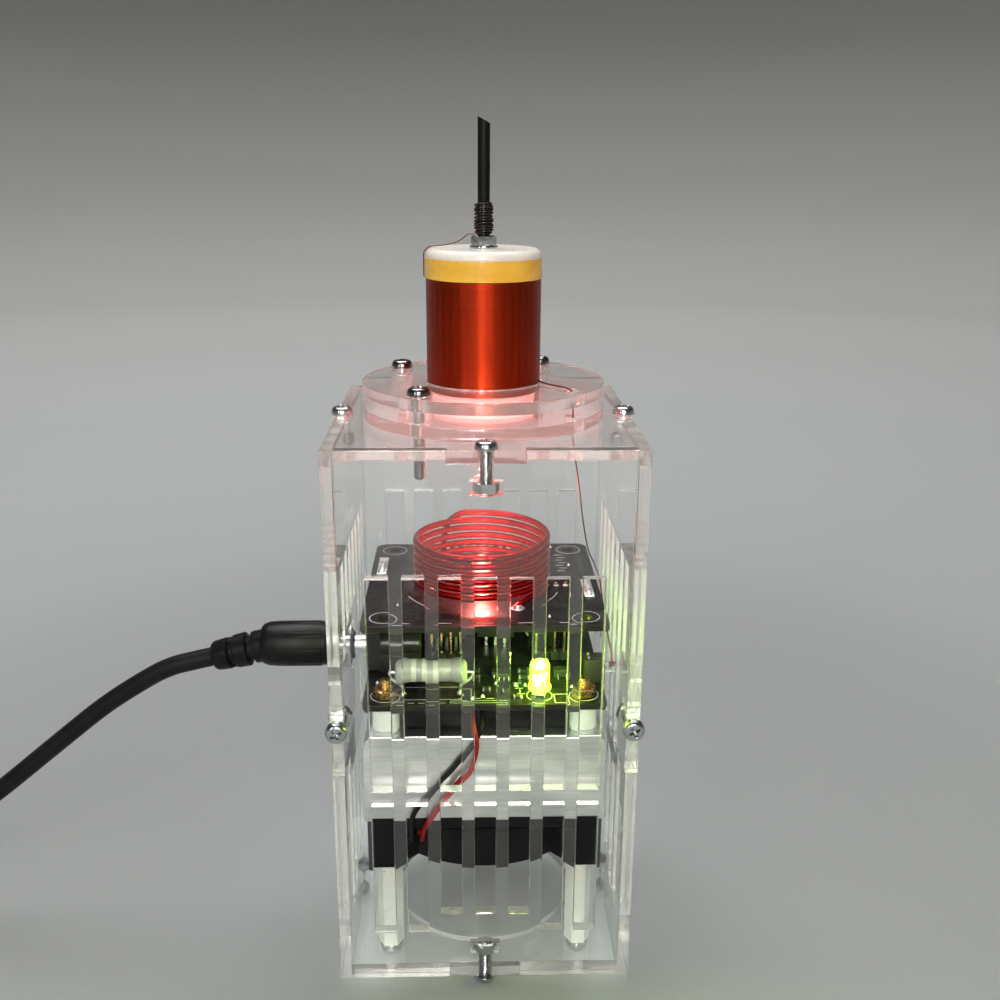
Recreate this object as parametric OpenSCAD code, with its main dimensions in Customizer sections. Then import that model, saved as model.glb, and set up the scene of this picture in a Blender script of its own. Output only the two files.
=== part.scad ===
// Desktop resonant transformer in a clear laser-cut case.
// Z points up from the table, +X to the right and -Y to the front. The origin lies on the table,
// below the middle of the case. Millimetres throughout.

/* [Case] */
// Outer width and depth of the square case
case_w = 75; // [75:1:84]
// Height of the walls
case_h = 142; // [136:1:160]
// Thickness of the clear sheet
sheet_t = 3; // [2.8:0.1:3.2]
// Width of the lid's and the floor's edge tabs
tab_w = 18; // [14:1:24]
// Height of the tabs that the front and rear walls hook round the side walls
hook_h = 24.6; // [18:0.2:28]
// Height of the middle of those tabs above the walls' lower edge
hook_mid = 72; // [70:1:76]
// Play of a tab in its notch, on each side
tab_play = 0.1; // [0.05:0.05:0.3]
// Diameter of the air hole in the floor
air_hole_d = 50; // [40:1:54]

/* [Vent slots] */
// Slots in a row
slot_count = 7; // [5:2:7]
// Width of a slot
slot_w = 5.3; // [4:0.1:5.6]
// Distance between the middles of two slots
slot_pitch = 8.5; // [8:0.1:8.8]
// Height of the upper row's top end above the walls' lower edge
vent_top = 111; // [104:1:116]
// Height of the upper row's bottom end
vent_web_top = 55.2; // [54:0.2:58]
// Height of the lower row's top end
vent_web_bottom = 51; // [46:0.5:52]
// Height of the lower row's bottom end
vent_bottom = 14; // [12:1:24]

/* [Screws] */
// Thread diameter of the screws and studs
screw_d = 3; // [2.9:0.1:3.1]
// Length of the case screws under the head
screw_len = 10; // [9:1:12]
// Length of the three tower screws under the head
tower_screw_len = 20; // [16:1:28]
// Diameter of a pan head
head_d = 5.6; // [5:0.1:6]
// Height of a pan head
head_h = 2; // [1.6:0.1:2.4]
// Width of a nut across its flats
nut_af = 5.5; // [5.5:0.1:5.8]
// Thickness of a nut
nut_h = 2.4; // [2:0.1:2.8]
// Play of a screw in its hole, on the diameter
hole_play = 0.4; // [0.2:0.1:0.6]

/* [Air and cooling] */
// Side of the square fan
fan_w = 60; // [60:1:62]
// Thickness of the fan
fan_h = 15; // [15:1:20]
// Distance between the fan's screw holes, which the boards and the heat sink share
stack_pitch = 50; // [50:0.5:51]
// Diameter of the fan's air duct
duct_d = 57; // [54:0.5:57]
// Diameter of the impeller's hub
hub_d = 27; // [24:0.5:30]
// Blades of the impeller
blade_count = 7; // [5:1:9]
// Angle of a blade at its root, from the plane of the fan
blade_pitch = 40; // [32:1:46]
// Height of the posts under the fan
post_h = 25; // [22:1:30]
// Width of the posts across their flats
post_af = 6; // [5.5:0.1:7]
// Side of the square heat sink
sink_w = 61; // [60:1:62]
// Height of the heat sink
sink_h = 23.5; // [20:0.5:26]
// Fins of the heat sink
fin_count = 13; // [9:2:15]
// Thickness of a fin
fin_t = 1.4; // [1:0.1:1.8]

/* [Boards] */
// Side of the square boards
board_w = 61; // [60:1:62]
// Thickness of a board
board_t = 1.6; // [1.2:0.1:2]
// Height of the spacers under the lower board
spacer_h = 7; // [5:0.5:9]
// Outer diameter of those spacers
spacer_d = 7; // [6:0.5:8]
// Clear height between the two boards
board_gap = 19.6; // [18.6:0.2:22]

/* [Primary coil] */
// Outer diameter of the primary coil
primary_d = 36; // [30:1:40]
// Diameter of its wire
primary_wire = 1.7; // [1.4:0.1:1.7]
// Turns of the primary coil
primary_turns = 6.4; // [4.4:1:7.4]
// Rise of one turn
primary_pitch = 2.15; // [2.15:0.05:2.4]

/* [Tower] */
// Diameter of the two clear discs
disc_d = 61; // [60:1:66]
// Gap between the discs
disc_gap = 3.2; // [2.4:0.2:5]
// Circle of the tower screws
tower_circle_d = 53; // [50:0.5:54]
// Outer diameter of the secondary winding
winding_d = 28.8; // [26:0.2:32]
// Height of the secondary winding
winding_h = 30.2; // [28:0.2:46]
// Modelled turns of the secondary winding, which stand for a few hundred finer ones
winding_turns = 15; // [8:1:15]
// Thickness of a modelled turn
winding_wire = 1.3; // [1:0.1:1.4]
// Height of the band of tape over the winding
tape_h = 4.9; // [4:0.1:8]
// Height of the end cap above the tape
cap_h = 2.2; // [1.8:0.1:4]
// Diameter of the discharge rod
rod_d = 3.1; // [3:0.1:3.3]
// Height of the rod above the end cap
rod_h = 30.5; // [24:0.5:50]

/* [Supply lead] */
// Diameter of the supply cord
cord_d = 5; // [4.6:0.1:5.2]
// Diameter of the plug's body
plug_d = 12; // [10:0.5:12.5]
// Length of the plug's body
plug_len = 23.8; // [20:0.2:26]
// Distance from the jack's mouth to the plug's body
plug_gap = 4.3; // [3:0.1:5]
// Height of the jack's axis above the lower board
jack_axis_h = 6.4; // [6.3:0.1:7]
// Place of the jack from front to back
jack_y = -7; // [-9:0.5:-5]

/* [Hidden] */
$fn = 64;
eps = 0.01;        // overlap of cuts, so that no skin is left
snug = 0.05;       // gap round a thing that is screwed or pushed into its seat
play = 0.3;        // gap beside a loose neighbour

// Levels, from the table up. The case stands on the heads of its lower screws.
base_z = head_h;
wall_top_z = base_z + case_h;
lid_z = wall_top_z - sheet_t;
post_z = base_z + sheet_t;
fan_z = post_z + post_h;
sink_z = fan_z + fan_h;
spacer_z = sink_z + sink_h;
lower_z = spacer_z + spacer_h;
lower_top_z = lower_z + board_t;
upper_z = lower_top_z + board_gap;
upper_top_z = upper_z + board_t;
lower_disc_z = wall_top_z;
upper_disc_z = lower_disc_z + sheet_t + disc_gap;
winding_z = lower_disc_z + sheet_t + 1.3;
tape_z = winding_z + winding_h;
cap_z = tape_z + tape_h;
cap_top_z = cap_z + cap_h;
washer_h = 0.5;
rod_nut_z = cap_top_z + washer_h;
wrap_z = rod_nut_z + nut_h;
rod_top_z = cap_top_z + rod_h;

half_w = case_w / 2;
room = half_w - sheet_t;           // from the middle to a wall's inner face
hole_d = screw_d + hole_play;
seam = half_w - sheet_t / 2;       // middle of a wall's thickness
hook_z = base_z + hook_mid;

// Nut pockets of the T-slots
nut_gap = 4.6;                     // from the slot's mouth to the nut
pocket_w = nut_af / cos(30) + 1.2;
tip_room = 0.7;
slot_depth = max(screw_len - sheet_t + tip_room, nut_gap + nut_h + play);

// Sweeps
function unit(v) = v / norm(v);
function heading(p, i) = unit(p[min(i + 1, len(p) - 1)] - p[max(i - 1, 0)]);
function square_to(v, t) = unit(v - (v * t) * t);
function first_side(t) = square_to(abs(t.z) < 0.9 ? [0, 0, 1] : [1, 0, 0], t);
// A side direction for every point of a path, carried along without twist
function sides_of(p) = [
    for (i = 0, s = first_side(heading(p, 0)); i < len(p);
         i = i + 1, s = i < len(p) ? square_to(s, heading(p, i)) : s) s
];
// Least distance between turns, less the wire: every pair of points at least skip apart
function least_gap(p, d, skip) = min([
    for (i = [0 : len(p) - skip - 1]) min([for (j = [i + skip : len(p) - 1]) norm(p[i] - p[j])])
]) - d;

// A round tube of diameter d along the points p, with n sides
module tube(p, d, n = 6) {
    side = sides_of(p);
    rings = [
        for (i = [0 : len(p) - 1]) let (t = heading(p, i), u = side[i], v = cross(t, u))
            for (k = [0 : n - 1]) p[i] + d / 2 * (cos(360 * k / n) * u + sin(360 * k / n) * v)
    ];
    last = (len(p) - 1) * n;
    skin = [
        for (i = [0 : len(p) - 2]) for (k = [0 : n - 1])
            let (a = i * n + k, b = i * n + (k + 1) % n)
                each [[a, a + n, b + n], [a, b + n, b]]
    ];
    start = [for (k = [1 : n - 2]) [0, k, k + 1]];
    end = [for (k = [1 : n - 2]) [last, last + k + 1, last + k]];
    polyhedron(rings, concat(skin, start, end), convexity = 10);
}

// Points of a helix about Z, from angle a0, with its radius and height given at both ends
function helix(r, z0, z1, turns, a0, per_turn) = [
    for (i = [0 : round(turns * per_turn)]) let (f = i / round(turns * per_turn), a = a0 + 360 * turns * f)
        [r * cos(a), r * sin(a), z0 + (z1 - z0) * f]
];

// Fasteners
module pan_head() {
    flat_r = head_d * 0.29;
    rim_h = head_h * 0.25;
    difference() {
        rotate_extrude() polygon(concat([[0, 0], [head_d / 2, 0]], [
            for (a = [0 : 18 : 90])
                [flat_r + (head_d / 2 - flat_r) * cos(a), rim_h + (head_h - rim_h) * sin(a)]
        ], [[0, head_h]]));
        for (a = [0, 90]) rotate(a) translate([-head_d * 0.27, -0.35, head_h * 0.45])
            cube([head_d * 0.54, 0.7, head_h]);
    }
}

// A pan-head screw with its seat at z = 0 and its thread below
module screw(length) {
    pan_head();
    translate([0, 0, -length]) cylinder(d = screw_d, h = length + eps);
}

// A hex nut that stands on z = 0
module nut(thread = screw_d) {
    difference() {
        cylinder(d = nut_af / cos(30), h = nut_h, $fn = 6);
        translate([0, 0, -eps]) cylinder(d = thread + 2 * snug, h = nut_h + 2 * eps);
    }
}

module at_edges() for (a = [0 : 90 : 270]) rotate(a) translate([0, -seam]) children();
module at_stack() for (x = [-1, 1], y = [-1, 1]) translate([x, y] * stack_pitch / 2) children();
module at_tower(angles) for (a = angles) rotate(a) translate([tower_circle_d / 2, 0]) children();
screw_angles = [54, 144, 234];
wire_hole_angle = 324;
wire_hole_d = 3.8;

// Case, cut from flat sheet
module plate_outline() {
    square(2 * room, center = true);
    at_edges() square([tab_w, sheet_t], center = true);
}
module edge_notch() {
    circle(d = hole_d);
    translate([-hole_d / 2, -sheet_t]) square([hole_d, sheet_t]);
}
module bottom_plate() {
    color("lightcyan", 0.4) translate([0, 0, base_z]) linear_extrude(sheet_t) difference() {
        plate_outline();
        circle(d = air_hole_d);
        at_edges() edge_notch();
        at_stack() circle(d = hole_d);
    }
}
module top_plate() {
    color("lightcyan", 0.4) translate([0, 0, lid_z]) linear_extrude(sheet_t) difference() {
        plate_outline();
        at_edges() edge_notch();
        at_tower(screw_angles) circle(d = screw_d + 2 * snug);
        at_tower([wire_hole_angle]) circle(d = wire_hole_d);
    }
}

// T-slot with its mouth on y = 0, going down
module t_slot() {
    translate([-hole_d / 2, -slot_depth]) square([hole_d, slot_depth + eps]);
    translate([-pocket_w / 2, -nut_gap - nut_h - play]) square([pocket_w, nut_h + 2 * play]);
}
// What the lid and the floor take out of a wall: a notch for the tab and a T-slot behind it
module plate_joint() {
    notch_w = tab_w + 2 * tab_play;
    for (up = [0, 1]) mirror([0, up]) translate([0, up ? 0 : case_h]) {
        translate([-notch_w / 2, -sheet_t]) square([notch_w, sheet_t + 1]);
        translate([0, -sheet_t]) t_slot();
    }
}
// The slots clear the T-slots: in the middle above the foot screw's nut
module slot_bar(x, low, high) translate([x - slot_w / 2, low]) square([slot_w, high - low]);
foot_clear = sheet_t + slot_depth + 8.5;
function slot_x(i) = (i - (slot_count - 1) / 2) * slot_pitch;
function is_middle(i) = abs(i - (slot_count - 1) / 2) <= 1;
module front_slots() for (i = [0 : slot_count - 1]) {
    slot_bar(slot_x(i), vent_web_top, vent_top);
    slot_bar(slot_x(i), is_middle(i) ? foot_clear : vent_bottom, vent_web_bottom);
}
// The outer slots of a side wall also clear the T-slots behind the hooks
hook_clear = hook_h / 2 + 2;
module side_slots(hole_at, hole_land) for (i = [0 : slot_count - 1]) {
    outer = abs(slot_x(i)) + slot_w / 2 > half_w - sheet_t - slot_depth - 2;
    near = hole_land > 0 && abs(slot_x(i) - hole_at.x) < hole_land + slot_w / 2;
    low = outer ? hook_mid - hook_clear : vent_web_bottom;
    high = near ? hole_at.y + hole_land : outer ? hook_mid + hook_clear : vent_web_top;
    slot_bar(slot_x(i), high, vent_top);
    slot_bar(slot_x(i), is_middle(i) ? foot_clear : vent_bottom, low);
}
module hooked_wall() {
    linear_extrude(sheet_t, center = true) difference() {
        union() {
            translate([-room, 0]) square([2 * room, case_h]);
            translate([-half_w, hook_mid - hook_h / 2]) square([case_w, hook_h]);
        }
        plate_joint();
        front_slots();
        for (s = [-1, 1]) translate([s * seam, hook_mid]) rotate(s * 90) edge_notch();
    }
}
module side_wall(hole_at = [0, 0], hole = 0) {
    hook_gap = hook_h + 2 * tab_play;
    linear_extrude(sheet_t, center = true) difference() {
        translate([-half_w, 0]) square([case_w, case_h]);
        plate_joint();
        side_slots(hole_at, hole > 0 ? hole / 2 + 3.5 : 0);
        for (s = [0, 1]) mirror([s, 0]) translate([half_w, hook_mid]) {
            translate([-sheet_t, -hook_gap / 2]) square([sheet_t + 1, hook_gap]);
            translate([-sheet_t, 0]) rotate(-90) t_slot();
        }
        if (hole > 0) translate(hole_at) circle(d = hole);
    }
}
module standing(a) rotate(a) translate([0, -seam, base_z]) rotate([90, 0, 0]) children();
module front_panel() color("lightcyan", 0.4) standing(0) hooked_wall();
module rear_panel() color("lightcyan", 0.4) standing(180) hooked_wall();
module right_panel() color("lightcyan", 0.4) standing(90) side_wall();
// The left wall has the hole for the plug; its own +x axis points to the front
plug_hole_d = plug_d + 1;
jack_z = lower_top_z + jack_axis_h;
module left_panel() color("lightcyan", 0.4)
    standing(270) side_wall([-jack_y, jack_z - base_z], plug_hole_d);

// Case screws and their nuts in the T-slots
nut_turn = 12;
module top_screws() color("silver") at_edges() translate([0, 0, wall_top_z]) screw(screw_len);
module top_nuts() color("silver") at_edges()
    translate([0, 0, lid_z - nut_gap - nut_h]) rotate(nut_turn) nut();
module bottom_screws() color("silver") at_edges()
    translate([0, 0, base_z]) rotate([180, 0, 0]) screw(screw_len);
module bottom_nuts() color("silver") at_edges() translate([0, 0, post_z + nut_gap]) rotate(nut_turn) nut();
module at_corners() for (a = [0, 180]) rotate(a) for (s = [-1, 1])
    translate([s * seam, -half_w, hook_z]) rotate([90, 0, 0]) children();
module corner_screws() color("silver") at_corners() screw(screw_len);
module corner_nuts() color("silver") at_corners()
    translate([0, 0, -sheet_t - nut_gap - nut_h]) rotate(nut_turn) nut();

// Fan posts
module hex_posts() color("ivory") at_stack() translate([0, 0, post_z]) difference() {
    cylinder(d = post_af / cos(30), h = post_h, $fn = 6);
    translate([0, 0, -eps]) cylinder(d = screw_d + 2 * snug, h = 7);
    translate([0, 0, post_h - stud_grip - 1]) cylinder(d = screw_d + 2 * snug, h = stud_grip + 2);
}
module post_screws() color("silver") at_stack()
    translate([0, 0, base_z]) rotate([180, 0, 0]) screw(sheet_t + 5);

// Fan: a square flange above, ears and a round duct below, four struts and a motor plate on top
fan_hole_d = 4.3;
flange_h = 3.5;
motor_plate_h = 1.6;
tip_gap = 0.6;
bearing_d = 5;
bearing_tube_d = 7.4;
shaft_d = 3;
shaft_play = 0.03;
hub_wall = 1.2;
hub_low = 1.5;                     // from the fan's lower face up to the hub's closed end
hub_z = fan_z + hub_low;
hub_h = fan_h - hub_low - motor_plate_h - 0.8;
rotor_floor = 1.4;
// An ear reaches from its screw hole to the duct
ear_r = 4.8;
module ear_outline() for (x = [-1, 1], y = [-1, 1]) translate([x, y] * stack_pitch / 2)
    rotate(45 * x * y) square([16, 2 * ear_r], center = true);

module fan_frame() {
    color("#1a1a1c") {
        difference() {
            union() {
                translate([0, 0, fan_z + fan_h - flange_h]) linear_extrude(flange_h) difference() {
                    square(fan_w, center = true);
                    for (a = [0 : 90 : 270]) rotate(a) translate([fan_w / 2, fan_w / 2])
                        rotate(45) square(4, center = true);
                }
                translate([0, 0, fan_z]) linear_extrude(fan_h) intersection() {
                    union() {
                        circle(d = duct_d + 2.6);
                        intersection() {
                            ear_outline();
                            square(fan_w, center = true);
                        }
                    }
                    square(fan_w, center = true);
                }
            }
            translate([0, 0, fan_z - 1]) cylinder(d = duct_d, h = fan_h + 2, $fn = 96);
            at_stack() translate([0, 0, fan_z - 1]) cylinder(d = fan_hole_d, h = fan_h + 2);
        }
        translate([0, 0, fan_z + fan_h - motor_plate_h]) cylinder(d = hub_d + 1, h = motor_plate_h);
        for (a = [45 : 90 : 315]) rotate(a)
            translate([hub_d / 2 - 1, -1.5, fan_z + fan_h - motor_plate_h])
                cube([duct_d / 2 - hub_d / 2 + 2, 3, motor_plate_h]);
        difference() {
            translate([0, 0, hub_z + rotor_floor + 1.2])
                cylinder(d = bearing_tube_d, h = fan_h - hub_low - rotor_floor - 1.2 - eps);
            translate([0, 0, hub_z + rotor_floor]) cylinder(d = bearing_d + 2 * snug,
                h = hub_h - rotor_floor);
        }
    }
}
module fan_bearing() color("goldenrod")
    translate([0, 0, hub_z + rotor_floor + 1.2]) difference() {
        cylinder(d = bearing_d, h = hub_h - rotor_floor - 1.6);
        translate([0, 0, -1]) cylinder(d = shaft_d + 2 * shaft_play, h = fan_h);
    }
// Four wound poles round the bearing tube
stator_r = hub_d / 2 - hub_wall - 1.2 - 0.5;
module fan_stator() color("peru") translate([0, 0, hub_z + rotor_floor + 2]) difference() {
    union() {
        cylinder(r = bearing_tube_d / 2 + 1.4, h = 4.5);
        for (a = [0 : 90 : 270]) rotate(a) {
            translate([0, -1.4, 0]) cube([stator_r - 0.8, 2.8, 4.5]);
            intersection() {
                difference() {
                    cylinder(r = stator_r, h = 4.5);
                    translate([0, 0, -1]) cylinder(r = stator_r - 1.4, h = 7);
                }
                translate([0, -5, -1]) cube([stator_r + 1, 10, 7]);
            }
        }
    }
    translate([0, 0, -1]) cylinder(d = bearing_tube_d + 2 * snug, h = 7);
}
// A blade is lofted through sections that widen, flatten and sweep back from root to tip
blade_tip_r = duct_d / 2 - tip_gap;
blade_h = hub_h - 1.6;
function blade_point(f, s, up) =
    let (r = hub_d / 2 - 0.8 + (blade_tip_r - hub_d / 2 + 0.8) * f,
         pitch = blade_pitch - 12 * f,
         rise = (s - 0.5) * blade_h * (0.92 - 0.1 * f),
         back = (s - 0.5) * blade_h * (0.92 - 0.1 * f) / tan(pitch),
         camber = 1.5 * sin(180 * s),
         thick = (0.5 + 0.5 * sin(180 * s)) * (up ? 0.5 : -0.5),
         a = (back - (camber + thick) * sin(pitch)) / r * 180 / PI - 16 * f * f)
    [r * cos(a), r * sin(a), blade_h / 2 + rise + (camber + thick) * cos(pitch) - 0.8];
module blade() {
    stations = 4;
    chord = 6;
    ring = 2 * chord + 2;
    points = [
        for (i = [0 : stations]) let (f = i / stations)
            each concat([for (k = [0 : chord]) blade_point(f, k / chord, false)],
                        [for (k = [chord : -1 : 0]) blade_point(f, k / chord, true)])
    ];
    last = stations * ring;
    skin = [
        for (i = [0 : stations - 1]) for (k = [0 : ring - 1])
            let (a = i * ring + k, b = i * ring + (k + 1) % ring)
                each [[a, a + ring, b + ring], [a, b + ring, b]]
    ];
    // The ends are closed rung by rung between the two sides of the section
    rungs = [for (k = [0 : chord - 1]) [k, k + 1, ring - 2 - k, ring - 1 - k]];
    start = [for (q = rungs) each [[q[0], q[1], q[2]], [q[0], q[2], q[3]]]];
    end = [for (q = rungs) each [[last + q[0], last + q[2], last + q[1]],
                                 [last + q[0], last + q[3], last + q[2]]]];
    polyhedron(points, concat(skin, start, end), convexity = 6);
}
module fan_impeller() color("#222224") translate([0, 0, hub_z]) {
    difference() {
        cylinder(d = hub_d, h = hub_h);
        translate([0, 0, rotor_floor]) cylinder(d = hub_d - 2 * hub_wall, h = hub_h);
        translate([0, 0, -1]) cylinder(d = shaft_d + snug, h = rotor_floor + 2);
    }
    translate([0, 0, 1.2]) for (i = [0 : blade_count - 1]) rotate(360 * i / blade_count) blade();
}
module fan_magnet() color("dimgray") translate([0, 0, hub_z + rotor_floor]) difference() {
    cylinder(d = hub_d - 2 * hub_wall - 2 * snug, h = hub_h - rotor_floor - 0.6);
    translate([0, 0, -1]) cylinder(r = stator_r + 0.5, h = fan_h);
}
module fan_shaft() color("silver") translate([0, 0, hub_z])
    cylinder(d = shaft_d, h = hub_h - 1);

// Heat sink: a plate over fins, with a solid post round every stud
sink_plate_h = 4;
module heat_sink() color("#c9cdd0") translate([0, 0, sink_z]) difference() {
    union() {
        intersection() {
            union() {
                translate([-sink_w / 2, -sink_w / 2, sink_h - sink_plate_h])
                    cube([sink_w, sink_w, sink_plate_h]);
                for (i = [0 : fin_count - 1])
                    translate([-sink_w / 2, (sink_w - fin_t) * (i / (fin_count - 1) - 0.5) - fin_t / 2, 0])
                        cube([sink_w, fin_t, sink_h - sink_plate_h + 1]);
            }
            // Rounded shoulders along both sides
            rotate([90, 0, 0]) linear_extrude(sink_w + 2, center = true) union() {
                translate([-sink_w / 2, -1]) square([sink_w, sink_h - 1.5]);
                translate([-sink_w / 2 + 2.5, sink_h - 5]) square([sink_w - 5, 5]);
                for (s = [-1, 1]) translate([s * (sink_w / 2 - 2.5), sink_h - 2.5]) circle(r = 2.5);
            }
        }
        at_stack() cylinder(r = 4.4, h = sink_h - 1);
    }
    at_stack() translate([0, 0, -1]) cylinder(d = hole_d, h = sink_h + 2);
}

// Studs through the fan, heat sink, spacers and lower board
stud_grip = 7;
stud_tip = 2.2;
module stack_studs() color("goldenrod") at_stack() translate([0, 0, fan_z - stud_grip])
    cylinder(d = screw_d, h = stud_grip + lower_top_z - fan_z + nut_h + stud_tip);
module stack_nuts() color("goldenrod") at_stack() translate([0, 0, lower_top_z]) rotate(nut_turn) nut();
module board_spacers() color("white") at_stack() translate([0, 0, spacer_z]) difference() {
    cylinder(d = spacer_d, h = spacer_h);
    translate([0, 0, -1]) cylinder(d = hole_d, h = spacer_h + 2);
}

// Boards
board_r = 3;
module board_outline() {
    square([board_w - 2 * board_r, board_w], center = true);
    square([board_w, board_w - 2 * board_r], center = true);
    for (x = [-1, 1], y = [-1, 1]) translate([x, y] * (board_w / 2 - board_r)) circle(r = board_r);
}
module board() linear_extrude(board_t) difference() {
    board_outline();
    at_stack() circle(d = hole_d);
}
module lower_board() color("#15171a") translate([0, 0, lower_z]) board();
module upper_board() color("#15171a") translate([0, 0, upper_z]) board();

// Rows of square pins in their plastic strips, which join and carry the upper board
pin_pitch = 2.54;
pin_w = 0.64;
module header(pins) {
    w = pins * pin_pitch;
    translate([-w / 2, -1.25, 0]) cube([w, 2.5, 2.5]);
    translate([-w / 2, -1.25, board_gap - 8.5]) cube([w, 2.5, 8.5]);
    for (i = [0 : pins - 1]) translate([(i - (pins - 1) / 2) * pin_pitch - pin_w / 2, -pin_w / 2, 1])
        cube([pin_w, pin_w, board_gap - 3]);
}
module board_headers() color("#202022") translate([0, 0, lower_top_z]) {
    translate([-1, board_w / 2 - 3.5, 0]) header(14);
    translate([-10, -5, 0]) header(4);
    translate([18, -4, 0]) header(4);
}

// Barrel jack at the board's left edge
jack_len = 14;
jack_w = 9;
jack_h = 10.9;
jack_x = -board_w / 2;             // mouth of the jack
barrel_d = 5.5;
barrel_bore_d = 2.2;
barrel_len = 9.5;
module dc_jack() color("#1b1b1d") translate([jack_x, jack_y, jack_z]) {
    difference() {
        union() {
            translate([0, -jack_w / 2, -jack_axis_h]) cube([3.4, jack_w, jack_h]);
            translate([0, -jack_w / 2, -jack_axis_h]) cube([jack_len, jack_w, 5]);
            rotate([0, 90, 0]) cylinder(d = jack_w - 0.4, h = jack_len);
        }
        translate([-eps, 0, 0]) rotate([0, 90, 0]) cylinder(d = barrel_d + 0.8, h = jack_len - 3);
    }
    translate([1, 0, 0]) rotate([0, 90, 0]) cylinder(d = 1.95, h = jack_len - 3);
}

// Axial resistor on bent leads
resistor_at = [-13.4, 6.5 - board_w / 2, 6.5];
module power_resistor() color("#8d9491") translate([0, 0, lower_top_z]) {
    body_len = 18;
    lead_d = 0.8;
    translate(resistor_at) rotate([0, 90, 0]) {
        cylinder(d = 5.8, h = body_len, center = true);
        for (s = [-1, 1]) translate([0, 0, s * (body_len / 2 - 1.6)])
            cylinder(d = 6.4, h = 3.2, center = true);
    }
    // Each lead leaves an end cap, bends down and turns in under the body, to the board
    for (s = [-1, 1]) tube([
        for (q = [
            [-0.4, 0], [1, 0], [1.5, -0.4], [1.3, -1.3], [0.2, -2.4], [-1.3, -3.5], [-1.8, -4.5],
            [-1.8, -resistor_at.z]
        ]) resistor_at + [s * (body_len / 2 + q[0]), 0, q[1]]
    ], lead_d);
}

// Round-topped light on two legs
module light(leg) {
    translate([0, 0, leg]) {
        cylinder(d = 5.8, h = 1);
        cylinder(d = 5, h = 6.1);
        translate([0, 0, 6.1]) intersection() {
            sphere(d = 5);
            translate([-3, -3, 0]) cube(6);
        }
    }
    for (x = [-1.27, 1.27]) translate([x - 0.25, -0.25, 0]) cube([0.5, 0.5, leg + 0.5]);
}
status_at = [13.8, 4.9 - board_w / 2];
module status_light() color("#b8ff20") translate([status_at.x, status_at.y, lower_top_z]) light(2);

// Right-angle pins at the right edge, where the ground lead ends
terminal_at = [board_w / 2 - 2.1, -16.5];
pin_z = [2.4, 4.6];
module ground_terminal() color("#1b1b1d") translate([terminal_at.x, terminal_at.y, lower_top_z]) {
    translate([-2.6, -2.5, 0]) cube([5.2, 5, 6.4]);
    for (z = pin_z) translate([2, -pin_w / 2, z - pin_w / 2]) cube([3.8, pin_w, pin_w]);
}

// Tall parts between the boards
module transistor() {
    translate([-5.1, -2.2, 3.2]) cube([10.2, 4.4, 9]);
    difference() {
        translate([-5.1, 0.9, 3.2]) cube([10.2, 1.3, 15.4]);
        translate([0, 4, 15.6]) rotate([90, 0, 0]) cylinder(d = 3.6, h = 6);
    }
    for (x = [-2.54, 0, 2.54]) translate([x - 0.4, -0.3, 0]) cube([0.8, 0.6, 3.4]);
}
module power_transistors() color("#232325") translate([0, 0, lower_top_z])
    for (x = [-10, 3.5]) translate([x, 5, 0]) transistor();
module film_capacitors() color("#26262a") translate([0, 0, lower_top_z])
    for (x = [-19.5, -0.5, 18.5]) translate([x - 8.75, 12.5, 0]) {
        cube([17.5, 8, 14.5]);
        translate([0.6, 0.6, 14]) cube([16.3, 6.8, 1]);
    }
module reservoir_capacitor() color("#101014") translate([16.8, 4.6, lower_top_z]) {
    cylinder(d = 9.4, h = 15.2);
    cylinder(d = 10, h = 1.4);
    translate([0, 0, 2.6]) cylinder(d = 10, h = 13.4);
}
// Chips and small parts: place, size
chips = [
    [[4.5, -14, 0], [5, 4, 1.6]], [[10.5, -12, 0], [3, 1.6, 0.9]], [[10.5, -15.5, 0], [3, 1.6, 0.9]],
    [[-2, -12, 0], [2, 1.3, 0.8]], [[-2, -15.5, 0], [2, 1.3, 0.8]], [[20.4, -14.5, 0], [4.4, 3.6, 2.2]],
    [[5.5, -22.5, 0], [2, 1.3, 0.8]], [[0.5, -22.5, 0], [2, 1.3, 0.8]],
    [[jack_x + jack_len + 4.5, -12.5, 0], [6, 4, 2]], [[-20.5, -13.5, 0], [3.2, 2.6, 1.8]],
    [[8.2, 3.5 - board_w / 2, 0], [2, 1.3, 0.8]]
];
module board_chips() color("#2c2c30") translate([0, 0, lower_top_z])
    for (c = chips) translate(c[0] - [c[1].x, c[1].y, 0] / 2) cube(c[1]);

// Tinned pads at the upper board's edges
module solder_pads() color("silver") translate([0, 0, upper_top_z])
    for (s = [[2.9 - board_w / 2, 12], [board_w / 2 - 3.1, -6]]) translate([s.x - 1.3, s.y - 6.5, 0]) {
        cube([2.6, 13, 0.4]);
        translate([1.3, 6.5, 0]) intersection() {
            translate([0, 0, -1.4]) rotate([90, 0, 0]) cylinder(r = 2.1, h = 12, center = true);
            translate([-1.2, -6, 0]) cube([2.4, 12, 2]);
        }
    }

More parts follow.
